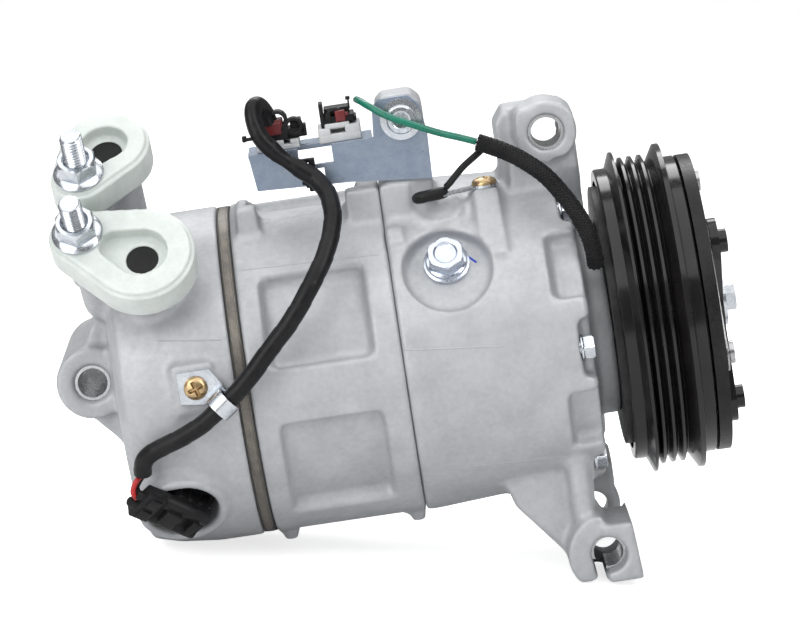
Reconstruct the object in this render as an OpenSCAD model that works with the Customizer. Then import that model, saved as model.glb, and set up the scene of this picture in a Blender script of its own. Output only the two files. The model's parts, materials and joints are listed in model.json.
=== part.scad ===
// Automotive air-conditioning compressor: six cylinders, swash plate, belt-driven magnetic clutch.
// The shaft lies along X with the pulley at +X; Y is the direction of the mounting bolts; Z is up.
// The origin is on the shaft axis, in the middle plane of the belt. Lengths are in millimetres.

/* [Body] */
// Radius of the cylinder block and of both joint flanges
body_r = 60; // [58:0.5:62]
// Wall depth of the lightening pockets around the cylinder block
pocket_depth = 5; // [3:0.5:6]
// Bore of each cylinder
bore_d = 31; // [29:0.5:31.5]
// Radius of the circle that the cylinders stand on
bore_pitch_r = 36.5; // [35:0.5:37]
// Radius of the circle that the through bolts stand on
bolt_pitch_r = 52; // [51:0.5:52.5]

/* [Pulley] */
// Pitch of the belt ribs
rib_pitch = 3.56; // [3.56]
// Radius over the belt ribs
rib_r = 56; // [55:0.5:57]
// Radius of the front flange of the pulley
front_flange_r = 59.1; // [58:0.1:60]
// Air gap between pulley and armature plate
air_gap = 0.5; // [0.35:0.05:0.65]

/* [Shaft] */
// Diameter of the drive shaft in its bearings
shaft_d = 18; // [17:0.5:18]
// Thickness of the swash plate at its rim
swash_t = 9; // [8:0.5:10]

/* [Lugs] */
// Diameter of the mounting bolt holes
lug_bore_d = 10.5; // [9:0.5:11]
// Outer diameter of the bushes pressed into the lugs
bush_d = 12.8; // [12:0.2:13.4]

/* [Ports] */
// Angle of the suction port from the vertical, towards the front
suction_tilt = 47; // [40:1:50]
// Angle of the discharge port from the vertical, towards the front
discharge_tilt = 37; // [34:1:40]
// Thickness of the protective port caps
cap_t = 12; // [10:1:14]

/* [Cables] */
// Diameter of the taped valve lead
harness_d = 6.6; // [5:0.2:7]
// Diameter of the braided sleeve on the coil lead
sleeve_d = 6.2; // [5:0.2:7]

/* [Hidden] */
$fn = 72;
eps = 0.01;
running = 0.03;
// Keeps a straight side just inside the arcs it joins, so that the two cross cleanly
inset = 0.998;

// Stations along the shaft
rear_face_x = -192.5;
head_x = -149.7;
block_rear_x = -145.4;
block_front_x = -90.9;
chamber_front_x = -33;
pocket_floor_x = -29;
flange_x = -24.5;
nose_step_x = -16;
nose_end_x = 11;
coil_back_x = -15.9;
pulley_rear_x = -13.8;
pulley_front_x = 16;
armature_x = pulley_front_x + air_gap;
armature_t = 4.6;

// Radii
bore_r = bore_d / 2;
shaft_r = shaft_d / 2;
chamber_r = 50;
nose_r = 20;
nose_step_r = 35;
bolt_r = 3;
bolt_hole_r = 3.4;
bearing_r = 31;
stud_r = 4;
stud_mean_r = 3.65;

// Six-fold pattern: bolts stand at multiples of 60 degrees, cylinders half way between
step = 60;
CYLINDERS = [for (i = [0:5]) 30 + i * step];
BOLTS = [for (i = [0:5]) i * step];
// First and last angle of each lightening pocket of the block
POCKETS = [[9, 41], [72, 108], [130, 169], [190, 230], [250, 287], [309, 349.5]];

// Mounting lugs: place in X and Z, near and far faces in Y
upper_lug = [-29.7, 73.6];
lower_lug = [-28.8, -77.5];
rear_lug = [-201, 9.5];

// Ports: place along X, height above the shaft axis and offset sideways, all in the port's own frame
suction_x = -175;
suction_face = 73;
suction_stud = [-21, 11];
discharge_x = -184;
discharge_face = 79;
discharge_side = 33.5;
discharge_stud = [-9.5, -14];

plug_x = -71;
plug_angle = 40;
plug_seat = 53;
valve_x = -175.5;
valve_angle = -38;
gland_angle = 66;

cast_grey = [0.74, 0.76, 0.79];
zinc = [0.82, 0.84, 0.86];
steel = [0.6, 0.61, 0.63];
yellow_zinc = [0.72, 0.62, 0.36];
nylon = [0.93, 0.94, 0.92];
rubber = [0.09, 0.09, 0.1];
gloss_black = [0.05, 0.05, 0.06];

// Routes of the cables, from end to end
HARNESS = [
  [-186.5, -60, -20], [-185.4, -62, -15.5], [-181, -64, -12], [-173, -66, -9], [-164, -67.5, -5],
  [-155, -68, 1], [-146, -68, 8], [-136, -67, 18], [-127, -66, 27], [-119, -63, 37],
  [-112, -57, 47], [-108, -49, 57], [-108, -43, 65], [-111, -39, 71], [-116, -38, 76],
  [-123, -38, 82], [-128, -38, 89], [-130, -36, 94], [-129, -32, 98], [-126, -28, 97.5], [-123, -25, 94]
];
COIL_WIRE = [
  [-94, -22, 94], [-92.5, -28, 93.8], [-90, -34, 92.5], [-84, -37.5, 88.5], [-76, -38.5, 84.5],
  [-67, -37, 80], [-60, -35, 77], [-54.6, -34, 74.6]
];
SLEEVE = [
  [-54, -34, 74.3], [-50, -35, 72.5], [-45, -37, 70], [-40, -40, 67], [-33, -43, 61],
  [-28, -44, 54], [-23.5, -44, 46], [-20.6, -44, 38], [-19.4, -42.5, 31], [-19.3, -40, 26]
];
GROUND_WIRE = [
  [-53, -31, 71], [-56, -31.5, 69], [-60, -32, 66.4], [-63.4, -32, 63.4], [-65.6, -31.6, 61.2], [-67.2, -31, 59.8]
];
RED_LEAD = [[-190, -61.4, -28.2], [-190.8, -62.4, -25.6], [-189.6, -61.6, -22.8], [-187.9, -60.4, -21.2]];
BLACK_LEAD = [[-189.2, -59.2, -26.4], [-189.4, -59.2, -24.6], [-188, -58.6, -22.6], [-186.6, -58.6, -21]];

// ---------------------------------------------------------------- helpers

// Turns a profile of [radius, x] points round the shaft axis
module turned(profile) rotate([0, 90, 0]) rotate_extrude() polygon(profile);

// Turns a profile through part of a circle, between two angles measured from -Y towards +Z
module turned_arc(profile, from, to)
  rotate([0, 90, 0]) rotate([0, 0, -90 - to]) rotate_extrude(angle = to - from) polygon(profile);

// Ring or disc between two stations on the shaft axis
module ring(x0, x1, outer, inner = 0)
  translate([x0, 0, 0]) rotate([0, 90, 0]) difference() {
    cylinder(h = x1 - x0, r = outer);
    if (inner > 0) translate([0, 0, -1]) cylinder(h = x1 - x0 + 2, r = inner);
  }

// Rod parallel to the shaft, at a radius and an angle
module rod(x0, x1, r, pitch, angle, sides = $fn)
  rotate([-angle, 0, 0]) translate([x0, -pitch, 0]) rotate([0, 90, 0]) cylinder(h = x1 - x0, r = r, $fn = sides);

// Moves children to a radial seat: their +Z points away from the shaft axis
module radial(x, angle) translate([x, 0, 0]) rotate([90 - angle, 0, 0]) children();

// Extrudes an XZ outline between two planes of constant Y
module across(y0, y1) translate([0, y1, 0]) rotate([90, 0, 0]) linear_extrude(height = y1 - y0) children();

// Extrudes a YZ outline between two planes of constant X
module lengthwise(x0, x1) translate([x0, 0, 0]) rotate([90, 0, 90]) linear_extrude(height = x1 - x0) children();

// Two discs and the straight tangents between them
module link_outline(a, ra, b, rb) {
  d = b - a;
  span = norm(d);
  dir = atan2(d[1], d[0]);
  lean = acos((ra - rb) / span);
  left = inset * [cos(dir + lean), sin(dir + lean)];
  right = inset * [cos(dir - lean), sin(dir - lean)];
  translate(a) circle(r = ra);
  translate(b) circle(r = rb);
  polygon([a + ra * left, a + ra * right, b + rb * right, b + rb * left]);
}

// Smooth curve through the points of a route, with a few stations to each span
function spline_at(p, i, t) =
  let (n = len(p) - 1, a = p[max(i - 1, 0)], b = p[i], c = p[i + 1], d = p[min(i + 2, n)])
  0.5 * (2 * b + t * (c - a) + t * t * (2 * a - 5 * b + 4 * c - d) + t * t * t * (3 * b - a - 3 * c + d));
function smooth(p, k) = [for (i = [0:len(p) - 2]) for (j = [0:k - 1]) spline_at(p, i, j / k), p[len(p) - 1]];
function unit(v) = v / norm(v);
function tangent(p, i) = unit(p[min(i + 1, len(p) - 1)] - p[max(i - 1, 0)]);

// Round cable along a route; one closed polyhedron
module cable(route, d, sides = 10, spans = 2, up = [0, 1, 0]) {
  p = smooth(route, spans);
  n = len(p);
  rings = [for (i = [0:n - 1])
    let (t = tangent(p, i), u = unit(cross(t, up)), w = cross(t, u))
    for (s = [0:sides - 1]) p[i] + d / 2 * (u * cos(s * 360 / sides) + w * sin(s * 360 / sides))];
  walls = [for (i = [0:n - 2]) for (s = [0:sides - 1])
    let (a = i * sides + s, b = i * sides + (s + 1) % sides)
    each [[a, a + sides, b + sides], [a, b + sides, b]]];
  front_cap = [for (s = [0:sides - 1]) s];
  back_cap = [for (s = [sides - 1:-1:0]) (n - 1) * sides + s];
  polyhedron(points = rings, faces = concat(walls, [front_cap, back_cap]));
}

// Hexagon bolt head with a washer flange, standing on z = 0
module flange_head(across_flats, flange_d, flange_t, height) {
  cylinder(h = flange_t, d = flange_d);
  cylinder(h = height, r = across_flats / sqrt(3), $fn = 6);
}

module suction_frame() translate([suction_x, 0, 0]) rotate([suction_tilt, 0, 0]) translate([0, 0, suction_face]) children();
module discharge_frame()
  translate([discharge_x, 0, 0]) rotate([discharge_tilt, 0, 0]) translate([0, discharge_side, discharge_face]) children();

// ---------------------------------------------------------------- castings

module front_housing() color(cast_grey) difference() {
  union() {
    turned([
      [chamber_r - 8, chamber_front_x], [chamber_r, -44], [chamber_r, block_front_x], [body_r, block_front_x],
      [body_r, -86], [58.2, -58], [57.2, -38], [57, -26], [55.5, flange_x], [nose_step_r, flange_x],
      [nose_step_r, nose_step_x], [nose_r, nose_step_x], [nose_r, nose_end_x - 1], [nose_r - 1, nose_end_x],
      [8.6, nose_end_x], [8.6, chamber_front_x]
    ]);
    intersection() {
      for (a = BOLTS) rod(block_front_x, pocket_floor_x, 6.4, bolt_pitch_r, a);
      ring(block_front_x + 0.4, pocket_floor_x - 2, 56.4, chamber_r - 6);
    }
    // everything that stands on the barrel, kept clear of the chamber inside
    difference() {
      union() {
        upper_lug_body();
        lower_lug_body();
        screw_pillar();
        bracket_pillar();
        radial(-87.4, 50) translate([-3.4, -4, 50]) cube([6.4, 8, 11.8]);
      }
      ring(-100, nose_step_x - 8, chamber_r + 2);
    }
    intersection() {
      radial(plug_x, 62) cylinder(h = 70, r = 9.5);
      ring(-84, -60, 61.2, 53);
    }
  }
  // bearing seat, seal seat and the shaft's clearance hole
  ring(chamber_front_x - 1, -15, 13);
  ring(-12, nose_end_x + 1, 14);
  // grooves for the three snap rings
  ring(-13.8, -12.4, 21, nose_r - 1.2);
  ring(9.4, 10.4, 21, nose_r - 1.2);
  ring(2.2, 3.5, 15.1);
  // through bolts and the pockets of their heads
  for (a = BOLTS) {
    rod(block_front_x - 1, pocket_floor_x + 1, bolt_hole_r, bolt_pitch_r, a);
    rotate([-a, 0, 0]) translate([pocket_floor_x, -70, -10.7]) cube([10, 25, 21.4]);
  }
  // scoops between the bolts in the front flange
  for (a = CYLINDERS) {
    turned_arc([[51, -35], [51, -20], [70, -20], [70, -38.5]], a - 11, a + 14);
  }
  // seat and hole of the drain plug
  radial(plug_x, plug_angle) {
    translate([0, -4.5, plug_seat]) cylinder(h = 30, r = 15.6);
    cylinder(h = 80, r = 5.15);
  }
  radial(plug_x, 62) translate([0, 0, 58.4]) difference() {
    cylinder(h = 4, r = 8.3);
    translate([0, 0, -1]) cylinder(h = 6, r = 6.4);
  }
  // mounting bolt holes
  translate([upper_lug[0], 0, upper_lug[1]]) rotate([90, 0, 0]) {
    cylinder(h = 120, d = lug_bore_d, center = true);
    translate([0, 0, 12]) cylinder(h = 40, d = bush_d);
  }
  translate([lower_lug[0], 0, lower_lug[1]]) rotate([90, 0, 0]) {
    cylinder(h = 140, d = lug_bore_d, center = true);
    translate([0, 0, 20]) cylinder(h = 40, d = bush_d);
  }
  // pinch slot of the near lower lug, and the step beside it on the upper side
  translate([lower_lug[0] - 5.8, -50, lower_lug[1] - 20]) cube([4.2, 34, 17]);
  translate([lower_lug[0] - 2.3, -50, lower_lug[1] + 3]) cube([1.2, 12, 20]);
  // tapped holes of the ground screw and the bracket bolt
  translate([-53.6, -23, 49.2]) cylinder(h = 12, r = 2.55);
  translate([-79.5, -10, 86]) rotate([90, 0, 0]) cylinder(h = 30, r = 3.05);
}

module upper_lug_body() {
  translate([upper_lug[0], 0, upper_lug[1]]) across(-30, -6) {
    circle(r = 11);
    polygon([[-10.4, 0], [-10.4, 7.4], [-8, 9.4], [6.8, 9.4], [10.2, 6.4], [10.2, 0]]);
  }
  translate([upper_lug[0], 0, upper_lug[1]]) across(-14, 6)
    polygon([[-17.6, -22], [-17.6, 3], [-13.8, 8.2], [7, 8.2], [10.6, 4.6], [10.6, -22]]);
  across(-22, 8) polygon([[-46, 42], [-44, 66], [-20, 66], [-19.3, 42]]);
}

module lower_lug_body() {
  translate([lower_lug[0], 0, lower_lug[1]]) {
    across(-43, -9) intersection() {
      circle(r = 14.6);
      translate([-20, -9.2]) square([19.6, 30]);
    }
    across(-45, -9) polygon([[-1.5, 11], [9.6, 11], [11.2, -10.2], [-1.5, -10.2]]);
    across(34, 46) circle(r = 10);
  }
  across(-34, -14) polygon([[-62, -48], [-59, -57.8], [-42, -79], [-32, -79], [-30, -48]]);
  across(34, 44) polygon([[-50, -42], [-38, -80], [-24, -84], [-20, -70], [-20, -42]]);
  across(-14, 36) polygon([[-40, -48], [-40, -62], [-25, -62], [-25, -48]]);
  for (y = [-36.5, -28]) translate([-35.5, y, -72]) cylinder(h = 30, r = 4);
}

module screw_pillar()
  lengthwise(-58.4, -49) polygon([[-29.5, 56.8], [-47.5, 36], [-18, 36], [-16, 56.8]]);

module bracket_pillar() {
  across(-29, -8) polygon([[-88, 48], [-88, 92], [-85, 94.5], [-75, 94.5], [-71.5, 91], [-71.5, 48]]);
  across(-31, -6) polygon([[block_front_x, 48], [block_front_x, 63.5], [-80, 63.5], [-80, 48]]);
}

module cylinder_block() color(cast_grey) difference() {
  union() {
    turned([
      [0, block_rear_x], [body_r - 0.6, block_rear_x], [body_r, block_rear_x + 0.6],
      [body_r, block_front_x - 0.6], [body_r - 0.6, block_front_x], [0, block_front_x]
    ]);
    across(-31, -6) polygon([[-103, 48], [-103, 63.5], [block_front_x, 63.5], [block_front_x, 48]]);
    across(-30, -4) polygon([[-143, 48], [-142, 62.5], [-135, 62.5], [-134, 48]]);
    for (x = [-143, -96.5]) across(-16, 12) translate([x, -61.8]) square([5, 12]);
  }
  for (p = POCKETS)
    turned_arc([[body_r - pocket_depth, -136], [body_r - pocket_depth, -101.4], [70, -97.5], [70, -140]], p[0], p[1]);
  for (a = CYLINDERS) rod(block_rear_x - 1, block_front_x + 1, bore_r, bore_pitch_r, a);
  for (a = BOLTS) rod(block_rear_x - 1, block_front_x + 1, bolt_hole_r, bolt_pitch_r, a);
  // hub bore: needle bearing seat, then the shaft's end clearance
  ring(-118, block_front_x + 1, 13);
  ring(block_rear_x - 1, -117, 10.5);
}

module rear_head() color(cast_grey) difference() {
  union() {
    difference() {
      turned([
        [0, rear_face_x], [50, rear_face_x], [56, -189.5], [58.5, -180], [body_r, -166],
        [body_r, head_x - 0.5], [body_r - 0.5, head_x], [0, head_x]
      ]);
      // suction chamber outside, discharge chamber in the middle
      ring(-164, head_x + 1, 45.5, 38);
      ring(-163, head_x + 1, 35);
    }
    // wall round the discharge passage, where it crosses the suction chamber
    discharge_passage(9);
    port_bosses();
    rear_lug_body();
    radial(valve_x, valve_angle) translate([0, 0, 20]) cylinder(h = 42.5, r = 16);
    across(-61, -40) polygon([[-171.5, -2], [-171.5, 16], [-157, 16], [-157, -2]]);
  }
  // passages from the ports to their chambers
  discharge_passage(6);
  suction_frame() {
    translate([0, 0, -14]) cylinder(h = 20, r = 8.5);
    translate([suction_stud[0], suction_stud[1], -14]) cylinder(h = 20, r = stud_mean_r + running);
  }
  rotate([suction_tilt, 0, 0]) translate([suction_x, 0, 60]) rotate([0, 90 + 35, 0]) cylinder(h = 60, r = 5);
  suction_link();
  discharge_frame() translate([discharge_stud[0], discharge_stud[1], -14]) cylinder(h = 20, r = stud_mean_r + running);
  // control valve bore and connector pocket
  radial(valve_x, valve_angle) {
    translate([0, 0, 15]) cylinder(h = 60, r = 9.5);
    translate([0, 0, 46]) cylinder(h = 30, r = 12.6);
  }
  for (a = BOLTS) rod(-172, head_x + 1, bolt_r + 0.05, bolt_pitch_r, a);
  translate([rear_lug[0], 0, rear_lug[1]]) rotate([90, 0, 0]) {
    cylinder(h = 140, d = bush_d, center = true);
    translate([0, 0, 34.2]) cylinder(h = 3, d1 = bush_d, d2 = bush_d + 4);
  }
  translate([-163.5, -40, 7.6]) rotate([90, 0, 0]) cylinder(h = 30, r = 2.05);
}

// Slanting hole from the suction port's floor into the suction chamber
module suction_link()
  rotate([suction_tilt, 0, 0]) translate([-158, 0, 41.8]) rotate([0, -42, 0]) cylinder(h = 26, r = 3.4);

// Rod from the discharge port's face down to the discharge chamber
module discharge_passage(r) {
  reach = r > 6 ? 62 : 66;
  discharge_frame() translate([0, 0, -reach]) cylinder(h = r > 6 ? reach - 1 : reach + 2, r = r);
}

module port_bosses() {
  suction_frame() {
    translate([0, 0, -5]) linear_extrude(height = 5) link_outline([0, 0], 14, suction_stud, 8.5);
    translate([0, 0, -30]) cylinder(h = 26, r = 10.5);
    translate([suction_stud[0] + 4, suction_stud[1] - 3, -28]) cylinder(h = 24, r = 8);
  }
  discharge_frame() {
    translate([0, 0, -5]) linear_extrude(height = 5) link_outline([0, 0], 12, discharge_stud, 8.5);
    translate([0, 0, -52]) cylinder(h = 48, r = 10);
    translate([discharge_stud[0], discharge_stud[1], -38]) cylinder(h = 34, r = 8);
  }
}

module rear_lug_body() {
  translate([rear_lug[0], 0, rear_lug[1]]) across(-36, 30) circle(r = 12.9);
  across(-30, 24) polygon([[-205, -2], [-196, -12], [-184, -30], [-184, 44], [-192, 40], [-203, 22]]);
}

// ---------------------------------------------------------------- joint plates and fasteners

// Flat plate of the joint: outline, bolt holes and the holes in front of each cylinder
module joint_plate(x0, x1, outer, in_r, in_pitch, out_r, out_pitch) difference() {
  ring(x0, x1, outer);
  for (a = BOLTS) rod(x0 - 1, x1 + 1, bolt_hole_r, bolt_pitch_r, a);
  for (a = CYLINDERS) {
    if (in_r > 0) rod(x0 - 1, x1 + 1, in_r, in_pitch, a);
    if (out_r > 0) rod(x0 - 1, x1 + 1, out_r, out_pitch, a);
  }
}

module block_gasket() color(rubber) difference() {
  joint_plate(-145.9, block_rear_x, body_r - 0.6, bore_r + 0.2, bore_pitch_r, 0, 0);
  ring(-147, -144, 10.5);
}
module suction_reed() color(steel) joint_plate(-146.3, -145.9, body_r - 0.9, 3.6, 30, 0, 0);
module valve_plate() color([0.62, 0.58, 0.5]) joint_plate(-148.8, -146.3, body_r - 0.5, 3.4, 30, 3.8, 42);
module discharge_reed() color(steel) joint_plate(-149.2, -148.8, body_r - 0.9, 0, 30, 4.2, 42);
module head_gasket() color(rubber) difference() {
  joint_plate(head_x, -149.2, body_r - 0.6, 0, 30, 4.4, 42);
  ring(-151, -148, 34.5);
}

module through_bolts() color(zinc) for (a = BOLTS) {
  rod(-171, pocket_floor_x, bolt_r, bolt_pitch_r, a);
  rotate([-a, 0, 0]) translate([pocket_floor_x, -bolt_pitch_r, 0]) rotate([0, 90, 0]) flange_head(8, 9.9, 1, 4.9);
}

module drain_plug() color(zinc) radial(plug_x, plug_angle) {
  translate([0, 0, plug_seat]) {
    cylinder(h = 1.6, d = 16.4);
    translate([0, 0, 1.6]) cylinder(h = 1.4, d = 14.6);
    cylinder(h = 8.4, r = 12 / sqrt(3), $fn = 6);
  }
  translate([0, 0, plug_seat - 2.8]) cylinder(h = 3, r = 5.1);
}

// Nylon cap over one port: a big disc over the port and a small one round the stud
module port_cap(big_r, stud, stud_r, recess_r) color(nylon) difference() {
  union() {
    linear_extrude(height = cap_t - 1.5) link_outline([0, 0], big_r, stud, stud_r);
    translate([0, 0, cap_t - 1.6]) linear_extrude(height = 1.6) link_outline([0, 0], big_r - 1.4, stud, stud_r - 1.4);
  }
  // shallow teardrop round the plug, then the plug's own hole
  translate([0, 0, cap_t - 5]) linear_extrude(height = 6) link_outline([0, 0], recess_r, stud * 0.4, recess_r * 0.62);
  translate([0, 0, -1]) cylinder(h = 20, r = 5.6);
  translate([stud[0], stud[1], -1]) cylinder(h = 20, r = 4.3);
}

module suction_cap() suction_frame() port_cap(18.8, suction_stud, 10.5, 9.4);
module discharge_cap() discharge_frame() port_cap(16, discharge_stud, 10.5, 8.2);

module port_plugs() color(rubber) {
  suction_frame() translate([0, 0, -12]) {
    cylinder(h = cap_t - 5.4 + 12, r = 5.55);
    cylinder(h = 11.9, r = 8.4);
  }
  discharge_frame() translate([0, 0, -12]) {
    cylinder(h = cap_t - 5.4 + 12, r = 5.55);
    cylinder(h = 11.9, r = 5.9);
  }
}

module port_studs() color(zinc) {
  suction_frame() translate([suction_stud[0], suction_stud[1], -13]) stud();
  discharge_frame() translate([discharge_stud[0], discharge_stud[1], -13]) stud();
}
// Thread at its mean radius inside the head and the nut, and at its full radius where it stands free
module stud() {
  cylinder(h = 33.6, r = stud_mean_r);
  translate([0, 0, 33.6]) cylinder(h = 9.4, r = stud_r);
  translate([0, 0, 43]) cylinder(h = 1, r1 = stud_r, r2 = 3.2);
}

module port_nuts() color(zinc) {
  suction_frame() translate([suction_stud[0], suction_stud[1], cap_t]) nut();
  discharge_frame() translate([discharge_stud[0], discharge_stud[1], cap_t]) nut();
}
module nut() difference() {
  flange_head(13, 17.9, 1.6, 8);
  translate([0, 0, -1]) cylinder(h = 12, r = stud_mean_r + running);
}

// Bush in a lug: axis along Y from y0 to y1
module bush(place, y0, y1) translate([place[0], 0, place[1]]) across(y0, y1) difference() {
  circle(d = bush_d - 0.04);
  circle(d = lug_bore_d);
}
module upper_lug_bush() color(steel) bush(upper_lug, -29, -12);
module lower_lug_bush() color(steel) difference() {
  bush(lower_lug, -38.5, -20);
  translate([lower_lug[0] - 5.8, -50, lower_lug[1] - 12]) cube([4.2, 34, 10]);
}
module rear_lug_bush() color(steel) bush(rear_lug, -34, 28);

// ---------------------------------------------------------------- wiring

module connector_bracket() color([0.66, 0.72, 0.8]) difference() {
  union() {
    across(-30.8, -29.2) polygon([
      [-133, 68], [-134.5, 81], [-90, 81], [-89, 91.5], [-86.5, 94], [-76, 94], [-72.5, 90.5],
      [-71, 80.5], [-71.5, 63.5], [-100, 66.5]
    ]);
    translate([-134.5, -30.8, 79.4]) cube([44, 22, 1.6]);
  }
  translate([-117, -32, 74.5]) cube([12, 3, 7]);
  translate([-117, -32, 79]) cube([12, 8, 3]);
  translate([-113, -32, 69]) cube([4.4, 3, 4]);
  translate([-79.5, -20, 86]) rotate([90, 0, 0]) cylinder(h = 20, r = 3.3);
}

module bracket_bolt() color(zinc) translate([-79.5, -30.8, 86]) rotate([90, 0, 0]) {
  cylinder(h = 1.2, r = 7.4);
  cylinder(h = 4, r = 5);
  translate([0, 0, -20]) cylinder(h = 20.5, r = 3);
}

module connector_seats() color([0.7, 0.71, 0.72]) {
  translate([-131, -29, 81]) cube([15, 17, 3.4]);
  translate([-109, -29, 81]) cube([15, 17, 6.6]);
}

module lead_connector() color(rubber) {
  translate([-130, -28, 84.4]) cube([12, 15, 7]);
  translate([-119, -26, 84.4]) cube([6, 11, 8.4]);
}

module coil_connector() color(rubber) {
  translate([-108, -28, 87.6]) cube([13, 14, 6.4]);
  translate([-104, -26, 93]) cube([9, 9, 3]);
}

module harness() color(rubber) cable(HARNESS, harness_d, 12, 3);
module coil_sleeve() color(rubber) cable(SLEEVE, sleeve_d, 12, 3);
module coil_wire() color([0.05, 0.5, 0.35]) cable(COIL_WIRE, 2.4, 8, 3);
module ground_wire() color(rubber) cable(GROUND_WIRE, 2.4, 8, 3);
module valve_leads() {
  color("firebrick") cable(RED_LEAD, 1.9, 8, 4);
  color(rubber) cable(BLACK_LEAD, 1.9, 8, 4);
}

module valve_connector() color(rubber) radial(valve_x, valve_angle) {
  translate([0, 0, 50.5]) cylinder(h = 6, r = 11.5);
  rotate([0, 0, 135]) {
    translate([-8.5, -6.5, 56.4]) cube([17, 13, 6.6]);
    translate([-8, -6.8, 62.8]) cube([28, 13.6, 5]);
    translate([-4, -4.5, 67.7]) cube([14, 9, 2]);
  }
}

module control_valve() color(steel) radial(valve_x, valve_angle) {
  translate([0, 0, 16]) cylinder(h = 16, r = 6.5);
  translate([0, 0, 32]) cylinder(h = 14.5, r = 9.4);
  translate([0, 0, 46.5]) cylinder(h = 4, r = 11.8);
}

module valve_rings() color(rubber) radial(valve_x, valve_angle) for (z = [20, 27])
  translate([0, 0, z]) difference() {
    cylinder(h = 2.2, r = 9.4);
    translate([0, 0, -1]) cylinder(h = 5, r = 6.5);
  }

// Band round the harness with a tab under its screw
module harness_clip() color(zinc) {
  difference() {
    across(-62.1, -61) polygon([[-169.5, 2.5], [-169.5, 13.5], [-158, 13.5], [-152.6, 5], [-155, 0.4]]);
    translate([-163.5, -50, 7.6]) rotate([90, 0, 0]) cylinder(h = 30, r = 2.2);
  }
  translate([-154.6, -68, 1.6]) rotate([0, 90 - 38, 0]) difference() {
    cylinder(h = 6, r = 4.9, center = true);
    cylinder(h = 8, r = 3.8, center = true);
  }
}

module clip_screw() color(yellow_zinc) translate([-163.5, -62.1, 7.6]) rotate([90, 0, 0]) difference() {
  union() {
    cylinder(h = 2.4, r1 = 4.2, r2 = 3.2);
    translate([0, 0, -14]) cylinder(h = 14.5, r = 2);
  }
  for (a = [0, 90]) rotate([0, 0, a + 20]) translate([-2, -0.45, 1.2]) cube([4, 0.9, 3]);
}

module ground_screw() color(yellow_zinc) translate([-53.6, -23, 57.8]) difference() {
  union() {
    cylinder(h = 2.6, r1 = 4.5, r2 = 3.6);
    translate([0, 0, -8]) cylinder(h = 8.5, r = 2.5);
  }
  for (a = [0, 90]) rotate([0, 0, a + 30]) translate([-2.2, -0.5, 1.3]) cube([4.4, 1, 3]);
}

module ground_terminal() color(zinc) translate([-53.6, -23, 56.8]) rotate([0, 0, 28]) {
  difference() {
    union() {
      cylinder(h = 1, r = 5);
      translate([-18, -2, 0]) cube([16, 4, 1]);
    }
    translate([0, 0, -1]) cylinder(h = 4, r = 2.6);
  }
  translate([-27, 0, 1.2]) rotate([0, 90, 0]) cylinder(h = 9.5, r = 1.9);
}

// ---------------------------------------------------------------- drive train inside

module shaft() color(steel) difference() {
  turned([
    [0, -126], [shaft_r - 0.8, -126], [shaft_r, -125.2], [shaft_r, -16], [8, -15.4], [8, 11.5],
    [7, 12], [7, 24], [6.4, 24.6], [0, 24.6]
  ]);
  ring(8, 30, 2.55);
}

module shaft_seal() color(rubber) turned([
  [8.03, -9], [8.03, -6.5], [10, -5.5], [10, -3], [8.5, -3], [8.5, 2], [13.95, 2], [13.95, -11.5], [10, -11.5]
]);

module needle_shell(x0, x1) turned([
  [11.6, x0 + 1], [11.6, x1 - 1], [9.6, x1 - 1], [9.6, x1], [12.97, x1], [12.97, x0], [9.6, x0], [9.6, x0 + 1]
]);
module front_bearing_shell() color(steel) needle_shell(-32, -15.2);
module rear_bearing_shell() color(steel) needle_shell(-110, -93.2);

// Ring of needle rollers on the shaft
module needles(x0, x1) for (i = [0:15]) rod(x0, x1, 1.22, shaft_r + 1.3, i * 22.5);
module needle_cage(x0, x1) difference() {
  ring(x0, x1, shaft_r + 1.9, shaft_r + 0.8);
  for (i = [0:15]) rod(x0 + 1.4, x1 - 1.4, 1.22 - eps, shaft_r + 1.3, i * 22.5);
}
module front_needles() color(steel) {
  needles(-29.4, -17.8);
  needle_cage(-30.8, -16.4);
}
module rear_needles() color(steel) {
  needles(-107.4, -95.8);
  needle_cage(-108.8, -94.4);
}

// Flat rollers between the lug plate and the front wall, standing round the shaft
module thrust_needles() color(steel) for (i = [0:19])
  rotate([i * 18, 0, 0]) translate([-34.4, 0, 19]) cylinder(h = 9, r = 1.3);

module lug_plate() color(steel) difference() {
  union() {
    ring(-44, -35.8, 37.5);
    ring(-52, -43, 14);
    translate([-60, -3.5, 20]) cube([17, 7, 11]);
  }
  ring(-61, -30, shaft_r + 0.02);
  translate([-66, -4, 24.5]) rotate([0, 20, 0]) cube([12, 8, 2]);
}

module swash_plate() color([0.5, 0.47, 0.42]) difference() {
  union() {
    ring(swash_x - swash_t / 2, swash_x + swash_t / 2, 43.2);
    ring(swash_x - 6.6, swash_x + 9, 15);
    for (y = [-8.5, 4]) translate([swash_x + 3, y, 17]) cube([21.5, 4.5, 9]);
  }
  ring(swash_x - 10, swash_x + 12, shaft_r + 0.35);
}
swash_x = -84;

// Coil spring between the lug plate and the swash plate
spring_turns = 3.5;
SPRING = [for (i = [0:42]) let (a = i * spring_turns * 360 / 42)
  [-74 + i * 21 / 42, 11.4 * cos(a), 11.4 * sin(a)]];
module return_spring() color(steel) cable(SPRING, 1.6, 8, 1, [1, 0, 0]);

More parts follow.
